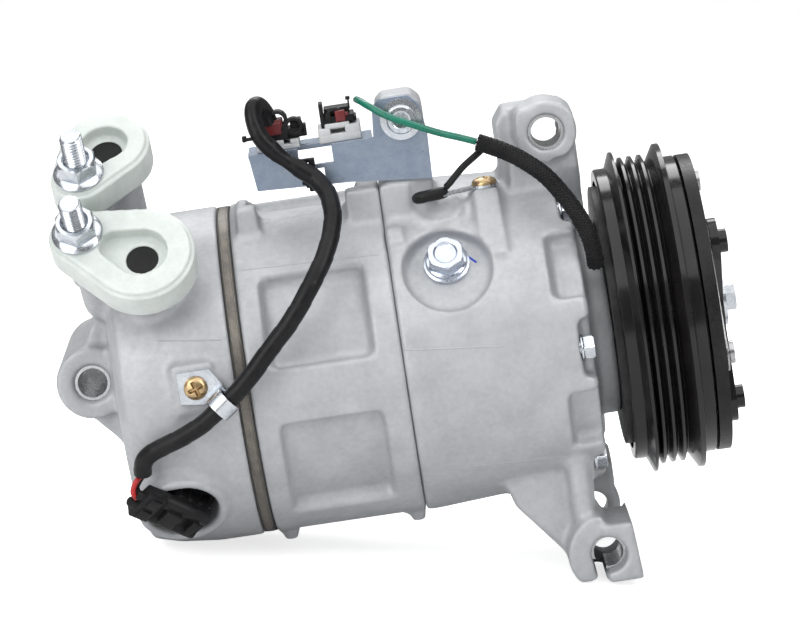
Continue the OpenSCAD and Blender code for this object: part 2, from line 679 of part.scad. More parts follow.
// Single-headed piston: head in the bore, bridge over the rim of the swash plate
piston_r = bore_r - running;
shoe_ball_r = 9.5;
module piston() rotate([0, 0, 0]) difference() {
  union() {
    translate([-144.9, -bore_pitch_r, 0]) rotate([0, 90, 0]) cylinder(h = 34, r = piston_r);
    intersection() {
      translate([-112, -bore_pitch_r, 0]) rotate([0, 90, 0]) cylinder(h = 43, r = piston_r - 0.7);
      translate([-112, -49.2, -8]) cube([43, 20, 16]);
    }
  }
  // gap that the rim of the swash plate turns in
  translate([swash_x - 5.5, -43.9, -20]) cube([11, 40, 40]);
  translate([swash_x, -bore_pitch_r, 0]) sphere(r = shoe_ball_r + 2 * running);
  // hollow head
  translate([-128, -bore_pitch_r, 0]) rotate([0, 90, 0]) cylinder(h = 14, r = 10);
}
module pistons() color([0.7, 0.7, 0.68]) for (a = CYLINDERS) rotate([-a, 0, 0]) piston();

module shoe_pair() for (s = [-1, 1]) translate([swash_x, -bore_pitch_r, 0]) rotate([0, s * 90, 0])
  rotate_extrude() intersection() {
    circle(r = shoe_ball_r);
    translate([0, swash_t / 2 + running]) square([6.2, 10]);
  }
module shoes() color(steel) for (a = CYLINDERS) rotate([-a, 0, 0]) shoe_pair();

// ---------------------------------------------------------------- clutch

module coil_shell() color(gloss_black) turned([
  [nose_r + 0.1, coil_back_x], [47, coil_back_x], [47, 6], [44.6, 6], [44.6, -13.2], [38.8, -13.2],
  [38.8, 6], [36.4, 6], [36.4, -13.9], [nose_r + 0.1, -13.9]
]);
module coil_winding() color([0.45, 0.22, 0.1]) ring(-13.2, 5, 44.5, 38.9);

module snap_rings() color(steel) {
  ring(-13.7, -12.5, nose_r + 2.4, nose_r - 1.1);
  ring(9.5, 10.3, nose_r + 1.8, nose_r - 1.1);
  ring(2.3, 3.4, 15, 11.8);
}

// Outline of the belt face between the two flanges: one point list per rib
function rib(i) = let (x = (1 - i) * rib_pitch)
  [[rib_r - 3.2, x + 1.78], [rib_r, x + 0.5], [rib_r, x - 0.5], [rib_r - 3.2, x - 1.78]];
RIM = concat(
  [[54, pulley_front_x - 0.6], [54, 11.6], [front_flange_r, 10.8], [front_flange_r, 9], [rib_r - 3.2, 5.34]],
  [for (i = [0:2]) each rib(i)],
  [[58.4, -6.2], [58.4, -7.2], [53, -9.4], [53, pulley_rear_x + 0.6], [52.4, pulley_rear_x]]
);
module pulley() color(gloss_black) difference() {
  turned(concat(
    [[bearing_r, 9.2], [bearing_r - 1.6, 9.2], [bearing_r - 1.6, 12], [33, pulley_front_x], [53.4, pulley_front_x]],
    RIM,
    [[49, pulley_rear_x], [49, 9], [35, 9], [35, -12], [bearing_r, -12]]
  ));
  for (a = [0:60:300]) turned_arc([[41, 8], [44, 8], [44, 17], [41, 17]], a + 8, a + 52);
}

module race(inner, outer, groove) difference() {
  ring(-11.5, 9.1, outer, inner);
  for (x = ball_rows) rotate([0, 90, 0]) rotate_extrude() translate([groove, x]) circle(r = ball_r + 0.08, $fn = 48);
}
ball_rows = [-6.4, 4];
ball_r = 3.2;
ball_pitch_r = 25.5;
module bearing_outer_race() color(steel) race(27.3, bearing_r - 0.01, ball_pitch_r);
module bearing_inner_race() color(steel) race(nose_r + 0.01, 23.7, ball_pitch_r);
module ball_positions() for (x = ball_rows) for (i = [0:17])
  rotate([i * 20 + (x > 0 ? 10 : 0), 0, 0]) translate([x, 0, ball_pitch_r]) children();
module bearing_balls() color(zinc) ball_positions() sphere(r = ball_r, $fn = 24);
module ball_cage() color([0.35, 0.3, 0.22]) difference() {
  for (x = ball_rows) ring(x - 4.3, x + 4.3, 26.4, 24.6);
  ball_positions() sphere(r = ball_r + 0.05, $fn = 24);
}

module armature_plate() color(gloss_black) difference() {
  ring(armature_x, armature_x + armature_t, 54, 27);
  for (a = [0:60:300]) turned_arc([[37, 15], [39, 15], [39, 25], [37, 25]], a - 20, a + 20);
  for (a = RIVETS) rod(15, 25, 2.5, rivet_r, a);
}
RIVETS = [-15, 105, 225];
rivet_r = 44;
hub_rivet_r = 36;
leaf_x = armature_x + armature_t + 0.5;
hub_plate_x = leaf_x + 0.8;

module armature_rivets() color(steel) for (a = RIVETS) {
  rod(armature_x + 1.4, leaf_x + 1.3, 2.48, rivet_r, a);
  rod(leaf_x + 1.3, leaf_x + 3, 4, rivet_r, a);
}

// Three leaf springs, each from a rivet of the armature to an arm of the hub
module leaf_springs() color(steel) for (a = RIVETS) difference() {
  rotate([-a, 0, 0]) lengthwise(leaf_x, leaf_x + 0.7)
    link_outline([-rivet_r, 0], 6.5, [-hub_rivet_r * cos(60), hub_rivet_r * sin(60)], 6.5);
  rod(leaf_x - 1, leaf_x + 2, 2.9, rivet_r, a);
}

module clutch_hub() color(gloss_black) {
  difference() {
    union() {
      ring(12.2, hub_plate_x + 3.2, 13);
      ring(hub_plate_x + 0.1, hub_plate_x + 2.8, 16);
      for (a = RIVETS) rotate([-a - 60, 0, 0]) lengthwise(hub_plate_x, hub_plate_x + 3)
        link_outline([-4, 0], 10, [-hub_rivet_r, 0], 8.5);
    }
    ring(0, 40, 7.02);
  }
  for (a = RIVETS) rod(hub_plate_x + 2.9, 28.6, 4.2, hub_rivet_r, a + 60);
}

module hub_bolt() color(zinc) {
  ring(hub_plate_x + 3.2, hub_plate_x + 4.6, 9.5);
  translate([hub_plate_x + 4.6, 0, 0]) rotate([0, 90, 0]) cylinder(h = 4, r = 8 / sqrt(3), $fn = 6);
  ring(10, hub_plate_x + 3.3, 2.5);
}

// ---------------------------------------------------------------- one line for each node

front_housing();
cylinder_block();
rear_head();
block_gasket();
suction_reed();
valve_plate();
discharge_reed();
head_gasket();
through_bolts();
drain_plug();
suction_cap();
discharge_cap();
port_plugs();
port_studs();
port_nuts();
upper_lug_bush();
lower_lug_bush();
rear_lug_bush();
connector_bracket();
bracket_bolt();
connector_seats();
lead_connector();
coil_connector();
harness();
valve_leads();
valve_connector();
control_valve();
valve_rings();
harness_clip();
clip_screw();
ground_screw();
ground_terminal();
ground_wire();
coil_sleeve();
coil_wire();
shaft();
shaft_seal();
front_bearing_shell();
front_needles();
rear_bearing_shell();
rear_needles();
thrust_needles();
lug_plate();
swash_plate();
return_spring();
pistons();
shoes();
coil_shell();
coil_winding();
snap_rings();
pulley();
bearing_outer_race();
bearing_inner_race();
bearing_balls();
ball_cage();
armature_plate();
armature_rivets();
leaf_springs();
clutch_hub();
hub_bolt();
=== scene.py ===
"""Looks of a car's air-conditioning compressor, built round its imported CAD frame.

Lengths are metres in the frame's own axes: the shaft lies along X with the pulley at +X,
the mounting bolts run along Y, and Z is up. The belt's middle plane is at X = 0.
"""

import json
import logging
import math
from dataclasses import dataclass, field
from enum import Enum
from typing import Callable, Iterable, Sequence

import bmesh
import bpy
from mathutils import Matrix, Vector


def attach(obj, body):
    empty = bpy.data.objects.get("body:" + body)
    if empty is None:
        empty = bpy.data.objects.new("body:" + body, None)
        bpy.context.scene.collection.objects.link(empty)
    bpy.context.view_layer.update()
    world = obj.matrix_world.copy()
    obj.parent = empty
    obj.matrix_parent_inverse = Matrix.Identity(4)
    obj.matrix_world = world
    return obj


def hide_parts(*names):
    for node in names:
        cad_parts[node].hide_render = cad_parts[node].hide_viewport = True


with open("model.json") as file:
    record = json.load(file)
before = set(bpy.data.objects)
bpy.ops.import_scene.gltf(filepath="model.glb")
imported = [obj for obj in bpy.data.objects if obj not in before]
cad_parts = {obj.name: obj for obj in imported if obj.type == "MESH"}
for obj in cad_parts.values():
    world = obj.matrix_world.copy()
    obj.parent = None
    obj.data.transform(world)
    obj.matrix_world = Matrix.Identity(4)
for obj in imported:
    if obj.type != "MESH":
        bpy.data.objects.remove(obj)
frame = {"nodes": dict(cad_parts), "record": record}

LOG = logging.getLogger("compressor")
MM = 0.001
TURN = 2 * math.pi
BODY = "housing"

Colour = tuple[float, float, float]
Point = Sequence[float]
Radius = float | Callable[[float], float]


# ------------------------------------------------------------------ finishes


class Pattern(Enum):
    """The texture that a finish carries on top of its colour."""

    CAST = "cast"
    PLATED = "plated"
    TURNED = "turned"
    PAINTED = "painted"
    MOULDED = "moulded"
    NYLON = "nylon"
    WRAPPED = "wrapped"


@dataclass(frozen=True)
class Finish:
    """One surface finish. Sizes are in millimetres, colours are linear."""

    name: str
    pattern: Pattern
    colour: Colour
    tint: Colour
    metallic: float = 0.0
    roughness: float = 0.5
    spread: float = 0.08
    patch: float = 9.0
    grain: float = 0.8
    relief: float = 0.03
    wear: float = 0.0
    worn: Colour = (0.6, 0.6, 0.62)
    soft_edge: float = 0.35
    coat: float = 0.0
    subsurface: float = 0.0
    specular: float = 0.5


CAST = Finish(
    "cast_aluminium", Pattern.CAST, (0.46, 0.47, 0.485), (0.375, 0.385, 0.40), metallic=0.35, roughness=0.52,
    spread=0.07, patch=14, grain=0.55, relief=0.035, wear=0.3, worn=(0.62, 0.63, 0.65), soft_edge=0.5,
)
FINISHES: dict[str, Finish] = {
    f.name: f
    for f in (
        CAST,
        Finish("gasket_rubber", Pattern.MOULDED, (0.03, 0.03, 0.03), (0.06, 0.055, 0.05), roughness=0.7),
        Finish("reed_steel", Pattern.TURNED, (0.35, 0.34, 0.32), (0.22, 0.2, 0.18), metallic=0.9,
               roughness=0.4),
        Finish("valve_plate_metal", Pattern.TURNED, (0.21, 0.19, 0.165), (0.13, 0.12, 0.11), metallic=0.8,
               roughness=0.45, patch=5),
        Finish("zinc_plate", Pattern.PLATED, (0.66, 0.69, 0.72), (0.5, 0.53, 0.58), metallic=1.0,
               roughness=0.24, spread=0.1, patch=3, grain=0.35, relief=0.012, wear=0.25,
               worn=(0.85, 0.86, 0.87), soft_edge=0.04),
        Finish("plug_zinc", Pattern.PLATED, (0.62, 0.68, 0.76), (0.5, 0.53, 0.62), metallic=1.0,
               roughness=0.22, spread=0.1, patch=3, grain=0.35, relief=0.012, wear=0.25,
               worn=(0.85, 0.86, 0.88)),
        Finish("nylon_white", Pattern.NYLON, (0.62, 0.655, 0.63), (0.53, 0.57, 0.55), roughness=0.36,
               spread=0.08, patch=7, grain=0.9, relief=0.03, soft_edge=0.8, subsurface=0.35),
        Finish("black_rubber", Pattern.MOULDED, (0.007, 0.007, 0.008), (0.014, 0.014, 0.014),
               roughness=0.55, specular=0.2),
        Finish("bush_steel", Pattern.TURNED, (0.6, 0.61, 0.62), (0.45, 0.46, 0.47), metallic=1.0,
               roughness=0.3),
        Finish("bracket_zinc", Pattern.PLATED, (0.25, 0.31, 0.40), (0.33, 0.38, 0.46), metallic=0.85,
               roughness=0.36, spread=0.12, patch=5, grain=0.5, relief=0.012, wear=0.5,
               worn=(0.75, 0.77, 0.8)),
        Finish("seat_grey", Pattern.MOULDED, (0.5, 0.51, 0.52), (0.4, 0.41, 0.42), roughness=0.5),
        Finish("connector_black", Pattern.MOULDED, (0.006, 0.006, 0.007), (0.014, 0.014, 0.015),
               roughness=0.38, wear=0.15, worn=(0.1, 0.1, 0.1), specular=0.2),
        Finish("tape_black", Pattern.WRAPPED, (0.005, 0.005, 0.006), (0.012, 0.012, 0.013), roughness=0.36,
               grain=0.5, relief=0.03, specular=0.2),
        Finish("braid_black", Pattern.WRAPPED, (0.007, 0.007, 0.008), (0.018, 0.018, 0.019), roughness=0.5,
               specular=0.2),
        Finish("wire_green", Pattern.WRAPPED, (0.0, 0.17, 0.105), (0.0, 0.12, 0.075), roughness=0.3),
        Finish("wire_black", Pattern.WRAPPED, (0.006, 0.006, 0.007), (0.014, 0.014, 0.014), roughness=0.35,
               specular=0.2),
        Finish("wire_red", Pattern.WRAPPED, (0.42, 0.014, 0.012), (0.3, 0.01, 0.01), roughness=0.35),
        Finish("yellow_zinc", Pattern.PLATED, (0.56, 0.45, 0.22), (0.5, 0.32, 0.2), metallic=1.0,
               roughness=0.3, patch=2, wear=0.3, worn=(0.8, 0.75, 0.6)),
        Finish("shaft_steel", Pattern.TURNED, (0.48, 0.48, 0.49), (0.36, 0.36, 0.37), metallic=1.0,
               roughness=0.28),
        Finish("cast_iron", Pattern.TURNED, (0.16, 0.155, 0.15), (0.1, 0.1, 0.1), metallic=0.8,
               roughness=0.45),
        Finish("piston_alloy", Pattern.TURNED, (0.45, 0.44, 0.42), (0.35, 0.34, 0.32), metallic=0.8,
               roughness=0.42),
        Finish("valve_steel", Pattern.TURNED, (0.34, 0.35, 0.36), (0.26, 0.27, 0.28), metallic=1.0,
               roughness=0.34),
        Finish("clutch_black", Pattern.PAINTED, (0.006, 0.0055, 0.0055), (0.013, 0.012, 0.012),
               roughness=0.17, spread=0.04, patch=11, grain=2.4, relief=0.004, wear=0.04,
               worn=(0.12, 0.12, 0.125), coat=0.2, soft_edge=0.3, specular=0.3),
        Finish("armature_black", Pattern.PAINTED, (0.008, 0.008, 0.0085), (0.018, 0.018, 0.019),
               roughness=0.34, spread=0.08, grain=1.5, relief=0.008, wear=0.15, worn=(0.25, 0.25, 0.26),
               specular=0.2),
        Finish("coil_black", Pattern.PAINTED, (0.02, 0.02, 0.021), (0.045, 0.045, 0.047), roughness=0.42,
               specular=0.2),
        Finish("coil_resin", Pattern.MOULDED, (0.12, 0.05, 0.025), (0.08, 0.03, 0.015), roughness=0.4),
        Finish("cage_polymer", Pattern.MOULDED, (0.1, 0.065, 0.03), (0.07, 0.045, 0.02), roughness=0.5),
        Finish("lock_red", Pattern.MOULDED, (0.15, 0.012, 0.014), (0.09, 0.008, 0.01), roughness=0.4),
        Finish("paint_mark", Pattern.PAINTED, (0.02, 0.06, 0.5), (0.01, 0.04, 0.4), roughness=0.5),
    )
}


class Shader:
    """A node tree being wired: adds nodes and joins sockets."""

    def __init__(self, tree: bpy.types.NodeTree) -> None:
        """Keeps the tree to wire."""
        self.tree = tree

    def node(self, kind: str, inputs: dict | None = None, **settings) -> bpy.types.Node:
        """Adds a node.

        Args:
            kind: Blender's name for the node.
            inputs: Socket name or number to a value or to another node's output.
            settings: Properties of the node itself.

        Returns:
            The new node.
        """
        made = self.tree.nodes.new(kind)
        for key, value in settings.items():
            setattr(made, key, value)
        for key, value in (inputs or {}).items():
            if isinstance(value, bpy.types.NodeSocket):
                self.tree.links.new(value, made.inputs[key])
            else:
                made.inputs[key].default_value = value
        return made

    def math(self, operation: str, a, b=0.0, clamp: bool = False) -> bpy.types.NodeSocket:
        """Returns the output of a math node on two values or sockets."""
        return self.node("ShaderNodeMath", {0: a, 1: b}, operation=operation, use_clamp=clamp).outputs[0]

    def product(self, first, *others) -> bpy.types.NodeSocket:
        """Returns the product of values or sockets."""
        for other in others:
            first = self.math("MULTIPLY", first, other)
        return first

    def vector(self, operation: str, inputs: dict) -> bpy.types.NodeSocket:
        """Returns the result of a vector math node, whether it is a vector or a number."""
        made = self.node("ShaderNodeVectorMath", inputs, operation=operation)
        return made.outputs["Value" if operation in ("LENGTH", "DOT_PRODUCT") else "Vector"]

    def span(self, value, from_min: float, from_max: float, to_min: float,
             to_max: float) -> bpy.types.NodeSocket:
        """Returns a value mapped from one clamped range to another."""
        return self.node("ShaderNodeMapRange", {
            "Value": value, "From Min": from_min, "From Max": from_max, "To Min": to_min, "To Max": to_max,
        }).outputs["Result"]

    def mix(self, factor, a, b) -> bpy.types.NodeSocket:
        """Returns the colour between a and b at a factor."""
        made = self.node("ShaderNodeMix", data_type="RGBA")
        for socket, value in ((made.inputs[0], factor), (made.inputs[6], a), (made.inputs[7], b)):
            if isinstance(value, bpy.types.NodeSocket):
                self.tree.links.new(value, socket)
            else:
                socket.default_value = value
        return made.outputs[2]

    def closed(self, given: dict) -> bpy.types.NodeTree:
        """Adds the group's output node, fed by the given sockets, and returns the whole group."""
        self.node("NodeGroupOutput", given)
        return self.tree

    def noise(self, vector, scale, detail: float = 3.0, roughness: float = 0.55) -> bpy.types.NodeSocket:
        """Returns the factor of a noise texture."""
        return self.node("ShaderNodeTexNoise", {
            "Vector": vector, "Scale": scale, "Detail": detail, "Roughness": roughness,
        }).outputs[0]


def rgba(colour: Colour) -> tuple[float, float, float, float]:
    """Returns a colour with full alpha."""
    return (*colour, 1.0)


class FinishShop:
    """Makes each finish's material once, from a few shared shader groups."""

    def __init__(self) -> None:
        """Builds the shared groups."""
        self.made: dict[str, bpy.types.Material] = {}
        self.variation = self._variation_group()
        self.soft_edges = self._soft_edge_group()
        self.grain = self._grain_group()
        self.lathe = self._lathe_group()

    @staticmethod
    def _group(name: str, inputs: dict[str, str], outputs: dict[str, str]) -> tuple:
        """Starts a shader group.

        Args:
            name: The group's name.
            inputs: Socket name to kind, "Float", "Color" or "Vector".
            outputs: The same for what it gives.

        Returns:
            The shader wiring helper and the sockets of the input node.
        """
        tree = bpy.data.node_groups.new(name, "ShaderNodeTree")
        for side, sockets in (("INPUT", inputs), ("OUTPUT", outputs)):
            for socket, kind in sockets.items():
                tree.interface.new_socket(socket, in_out=side, socket_type=f"NodeSocket{kind}")
        wiring = Shader(tree)
        return wiring, wiring.node("NodeGroupInput").outputs

    def _variation_group(self) -> bpy.types.NodeTree:
        """Returns the group that lets colour and roughness wander over a surface."""
        s, given = self._group(
            "uneven_surface",
            {"Vector": "Vector", "Colour": "Color", "Tint": "Color", "Patch": "Float", "Roughness": "Float",
             "Spread": "Float"},
            {"Colour": "Color", "Roughness": "Float"},
        )
        scale = s.math("DIVIDE", 1.0, given["Patch"])
        broad = s.noise(given["Vector"], scale, 4, 0.6)
        fine = s.noise(given["Vector"], s.product(scale, 7.3), 3, 0.6)
        blend = s.math("ADD", s.product(broad, 0.7), s.product(fine, 0.3))
        factor = s.span(blend, 0.36, 0.64, 0.0, 1.0)
        wander = s.product(s.span(fine, 0.3, 0.7, -1.0, 1.0), given["Spread"])
        return s.closed({
            "Colour": s.mix(factor, given["Colour"], given["Tint"]),
            "Roughness": s.math("ADD", given["Roughness"], wander, clamp=True),
        })

    def _soft_edge_group(self) -> bpy.types.NodeTree:
        """Returns the group that rounds edges in shading and says where they are."""
        s, given = self._group(
            "soft_edges", {"Vector": "Vector", "Radius": "Float", "Wear": "Float"},
            {"Normal": "Vector", "Wear": "Float"},
        )
        rounded = s.node("ShaderNodeBevel", {"Radius": given["Radius"]}, samples=4).outputs[0]
        plain = s.node("ShaderNodeNewGeometry").outputs["Normal"]
        along = s.vector("DOT_PRODUCT", {0: rounded, 1: plain})
        edge = s.span(s.math("SUBTRACT", 1.0, along), 0.015, 0.14, 0.0, 1.0)
        broken = s.span(s.noise(given["Vector"], 0.9, 4, 0.65), 0.40, 0.62, 0.0, 1.0)
        worn = s.math("MULTIPLY", s.product(edge, broken), given["Wear"], clamp=True)
        return s.closed({"Normal": rounded, "Wear": worn})

    def _grain_group(self) -> bpy.types.NodeTree:
        """Returns the group with the height of a grainy skin: fine grit with a few pits."""
        s, given = self._group("grain", {"Vector": "Vector", "Size": "Float"}, {"Height": "Float"})
        scale = s.math("DIVIDE", 1.0, given["Size"])
        grit = s.noise(given["Vector"], scale, 5, 0.6)
        swell = s.noise(given["Vector"], s.product(scale, 0.12), 2, 0.5)
        cells = s.node("ShaderNodeTexVoronoi", {"Vector": given["Vector"], "Scale": s.product(scale, 0.35)})
        pits = s.span(cells.outputs["Distance"], 0.0, 0.16, -0.5, 0.0)
        return s.closed({"Height": s.math("ADD", s.math("ADD", grit, s.product(swell, 1.5)), pits)})

    def _lathe_group(self) -> bpy.types.NodeTree:
        """Returns the group with tool marks that run round the shaft axis."""
        s, given = self._group("lathe_marks", {"Vector": "Vector", "Pitch": "Float"}, {"Height": "Float"})
        parts = s.node("ShaderNodeSeparateXYZ", {0: given["Vector"]}).outputs
        flat = s.node("ShaderNodeCombineXYZ", {1: parts[1], 2: parts[2]}).outputs[0]
        reach = s.vector("LENGTH", {0: flat})
        place = s.node("ShaderNodeCombineXYZ", {0: parts[0], 1: reach, 2: s.product(parts[2], 0.02)})
        return s.closed({"Height": s.noise(place.outputs[0], s.math("DIVIDE", 1.0, given["Pitch"]), 2, 0.5)})

    def get(self, name: str) -> bpy.types.Material:
        """Returns the material of a finish, making it the first time.

        Args:
            name: A key of FINISHES.

        Returns:
            The Blender material.
        """
        if name not in self.made:
            self.made[name] = self._build(FINISHES[name])
        return self.made[name]

    def _build(self, f: Finish) -> bpy.types.Material:
        """Returns a new material for a finish."""
        material = bpy.data.materials.new(f.name)
        material.use_nodes = True
        material.node_tree.nodes.clear()
        s = Shader(material.node_tree)
        place = s.node("ShaderNodeTexCoord").outputs["Object"]
        mm = s.vector("SCALE", {0: place, "Scale": 1 / MM})
        uneven = s.node("ShaderNodeGroup", node_tree=self.variation, inputs={
            "Vector": mm, "Colour": rgba(f.colour), "Tint": rgba(f.tint), "Patch": f.patch,
            "Roughness": f.roughness, "Spread": f.spread,
        })
        edges = s.node("ShaderNodeGroup", node_tree=self.soft_edges, inputs={
            "Vector": mm, "Radius": f.soft_edge * MM, "Wear": f.wear,
        })
        if f.pattern is Pattern.TURNED:
            skin = s.node("ShaderNodeGroup", {"Vector": mm, "Pitch": f.grain * 0.5}, node_tree=self.lathe)
        else:
            skin = s.node("ShaderNodeGroup", {"Vector": mm, "Size": f.grain}, node_tree=self.grain)
        bump = s.node("ShaderNodeBump", {
            "Strength": 1.0, "Distance": f.relief * MM, "Height": skin.outputs["Height"],
            "Normal": edges.outputs["Normal"],
        })
        colour = s.mix(edges.outputs["Wear"], uneven.outputs["Colour"], rgba(f.worn))
        shell = s.node("ShaderNodeBsdfPrincipled", {
            "Base Color": colour, "Roughness": uneven.outputs["Roughness"], "Metallic": f.metallic,
            "Normal": bump.outputs["Normal"], "Coat Weight": f.coat, "Coat Roughness": 0.12,
            "Specular IOR Level": f.specular,
            "Subsurface Weight": f.subsurface, "Subsurface Scale": 4 * MM,
        })
        if f.subsurface:
            shell.inputs["Subsurface Radius"].default_value = (1.0, 0.95, 0.85)
        s.node("ShaderNodeOutputMaterial", {"Surface": shell.outputs[0]})
        return material


# ------------------------------------------------------------------ mesh helpers


def make_object(name: str, mesh: bpy.types.Mesh) -> bpy.types.Object:
    """Returns a new object in the scene that holds a mesh."""
    made = bpy.data.objects.new(name, mesh)
    bpy.context.scene.collection.objects.link(made)
    return made


def grid_mesh(name: str, rings: Sequence[Sequence[Point]], closed: bool = False) -> bpy.types.Mesh:
    """Makes a closed skin from rings of points.

    Args:
        name: The mesh's name.
        rings: Rings with the same number of points each, in order.
        closed: True where the last ring joins the first; otherwise both ends get a cap.

    Returns:
        The mesh, smooth but for its sharp edges.
    """
    n = len(rings[0])
    bm = bmesh.new()
    rows = [[bm.verts.new(p) for p in ring] for ring in rings]
    spans = list(zip(rows, rows[1:])) + ([(rows[-1], rows[0])] if closed else [])
    for low, high in spans:
        for i in range(n):
            j = (i + 1) % n
            bm.faces.new((low[i], low[j], high[j], high[i]))
    if not closed:
        bm.faces.new(rows[0][::-1])
        bm.faces.new(rows[-1])
    return finish_bmesh(name, bm)


def finish_bmesh(name: str, bm: bmesh.types.BMesh, sharp: float = 34.0) -> bpy.types.Mesh:
    """Merges doubles, turns normals outward and returns a smooth-shaded mesh with sharp edges kept."""
    bmesh.ops.remove_doubles(bm, verts=bm.verts, dist=1e-6)
    bmesh.ops.recalc_face_normals(bm, faces=bm.faces)
    mesh = bpy.data.meshes.new(name)
    bm.to_mesh(mesh)
    bm.free()
    mesh.shade_smooth()
    mesh.set_sharp_from_angle(angle=math.radians(sharp))
    return mesh


def spun(name: str, profile: Sequence[tuple[Radius, float]], segments: int = 72, closed: bool = False,
         place: Matrix = Matrix()) -> bpy.types.Mesh:
    """Turns a profile in millimetres round Z.

    Args:
        name: The mesh's name.
        profile: Pairs of radius and height; a radius may be a function of the angle.
        segments: Points round the turn.
        closed: True where the profile closes on itself, as for a ring with a bore.
        place: Where the result goes.

    Returns:
        The mesh.
    """
    rings = []
    for radius, z in profile:
        ring = []
        for i in range(segments):
            a = TURN * i / segments
            r = radius(a) if callable(radius) else radius
            ring.append(place @ (Vector((r * math.cos(a), r * math.sin(a), z)) * MM))
        rings.append(ring)
    return grid_mesh(name, rings, closed)


def hexagon(across_flats: float, limit: float = math.inf) -> Callable[[float], float]:
    """Returns the radius of a hexagon at an angle, cut off by a circle of a radius."""

    def radius(a: float) -> float:
        lean = (a + math.pi / 6) % (math.pi / 3) - math.pi / 6
        return min(across_flats / 2 / math.cos(lean), limit)

    return radius


def join(name: str, meshes: Iterable[bpy.types.Mesh], sharp: float = 34.0) -> bpy.types.Mesh:
    """Returns one mesh that holds several."""
    bm = bmesh.new()
    for mesh in meshes:
        bm.from_mesh(mesh)
        bpy.data.meshes.remove(mesh)
    mesh = bpy.data.meshes.new(name)
    bm.to_mesh(mesh)
    bm.free()
    mesh.shade_smooth()
    mesh.set_sharp_from_angle(angle=math.radians(sharp))
    return mesh


def block(name: str, low: Point, high: Point, bevel: float, place: Matrix = Matrix()) -> bpy.types.Mesh:
    """Makes a box with rounded edges.

    Args:
        name: The mesh's name.
        low: Lowest corner, in millimetres.
        high: Highest corner.
        bevel: Radius of its edges.
        place: Where the box goes.

    Returns:
        The mesh.
    """
    bm = bmesh.new()
    bmesh.ops.create_cube(bm, size=1)
    low, high = Vector(low) * MM, Vector(high) * MM
    middle, size = (low + high) / 2, high - low
    for v in bm.verts:
        v.co = Vector((v.co.x * size.x, v.co.y * size.y, v.co.z * size.z)) + middle
    bmesh.ops.bevel(bm, geom=bm.edges[:], offset=bevel * MM, segments=3, profile=0.5, affect="EDGES")
    bmesh.ops.transform(bm, matrix=place, verts=bm.verts)
    return finish_bmesh(name, bm, 50)


def smooth_route(route: Sequence[Point], steps: int) -> list[Vector]:
    """Returns a smooth curve through a route's points, with a few stations to each span."""
    p = [Vector(q) * MM for q in route]
    out = []
    for i in range(len(p) - 1):
        a, b, c, d = p[max(i - 1, 0)], p[i], p[i + 1], p[min(i + 2, len(p) - 1)]
        for j in range(steps):
            t = j / steps
            out.append(0.5 * (2 * b + t * (c - a) + t * t * (2 * a - 5 * b + 4 * c - d)
                              + t * t * t * (3 * b - a - 3 * c + d)))
    return out + [p[-1]]


def resampled(path: Sequence[Vector], step: float) -> list[Vector]:
    """Returns points along a path at an even step, given in millimetres."""
    reach = [0.0]
    for a, b in zip(path, path[1:]):
        reach.append(reach[-1] + (b - a).length)
    count = max(2, round(reach[-1] / (step * MM)))
    out, k = [], 0
    for i in range(count + 1):
        s = reach[-1] * i / count
        while k < len(path) - 2 and reach[k + 1] < s:
            k += 1
        span = reach[k + 1] - reach[k]
        out.append(path[k].lerp(path[k + 1], (s - reach[k]) / span if span else 0.0))
    return out


def tube(name: str, path: Sequence[Vector], radius: Callable[[float, float], float],
         sides: int) -> bpy.types.Mesh:
    """Sweeps a round section along a path, without twist.

    Args:
        name: The mesh's name.
        path: Points along the middle.
        radius: Radius at a distance along the path and an angle round it, both lengths in millimetres.
        sides: Points round the section.

    Returns:
        The mesh, capped at both ends.
    """
    rings, reach = [], 0.0
    side = Vector((0, 1, 0))
    for i, p in enumerate(path):
        along = (path[min(i + 1, len(path) - 1)] - path[max(i - 1, 0)]).normalized()
        side = (side - along * side.dot(along)).normalized()
        other = along.cross(side)
        reach += (p - path[i - 1]).length / MM if i else 0.0
        ring = []
        for j in range(sides):
            a = TURN * j / sides
            r = radius(reach, a) * MM
            ring.append(p + r * (math.cos(a) * side + math.sin(a) * other))
        rings.append(ring)
    return grid_mesh(name, rings)


def cross_head(name: str, place: Matrix, radius: float, height: float, spin: float) -> bpy.types.Mesh:
    """Makes a domed screw head with a cross recess, its seat at z = 0.

    Args:
        name: The mesh's name.
        place: Where it goes.
        radius: Radius of the head.
        height: Height over the dome.
        spin: Turn of the cross in radians.

    Returns:
        The mesh.
    """
    arm, reach, depth = radius * 0.13, radius * 0.62, height * 0.62
    circle = [(math.cos(TURN * i / 96), math.sin(TURN * i / 96)) for i in range(96)]
    shoulder = height * 0.22
    rings = [[place @ (Vector((radius * c, radius * s, z)) * MM) for c, s in circle] for z in (0, shoulder)]
    steps = 15
    for k in range(1, steps):
        r = radius * (1 - k / steps) ** 0.8
        ring = []
        for c, s in circle:
            x, y = r * c, r * s
            u = abs(x * math.cos(spin) + y * math.sin(spin))
            v = abs(y * math.cos(spin) - x * math.sin(spin))
            inside = min(max(arm - u, arm - v), reach - r) / (arm * 0.5)
            z = shoulder + (height - shoulder) * math.sqrt(max(0.0, 1 - (r / radius) ** 2))
            ring.append(place @ (Vector((x, y, z - depth * min(1.0, max(0.0, inside + 0.4)))) * MM))
        rings.append(ring)
    return grid_mesh(name, rings)


def shift(x: float = 0.0, y: float = 0.0, z: float = 0.0) -> Matrix:
    """Returns a move by millimetres."""
    return Matrix.Translation(Vector((x, y, z)) * MM)


def turn(degrees: float, axis: str) -> Matrix:
    """Returns a turn about an axis."""
    return Matrix.Rotation(math.radians(degrees), 4, axis)


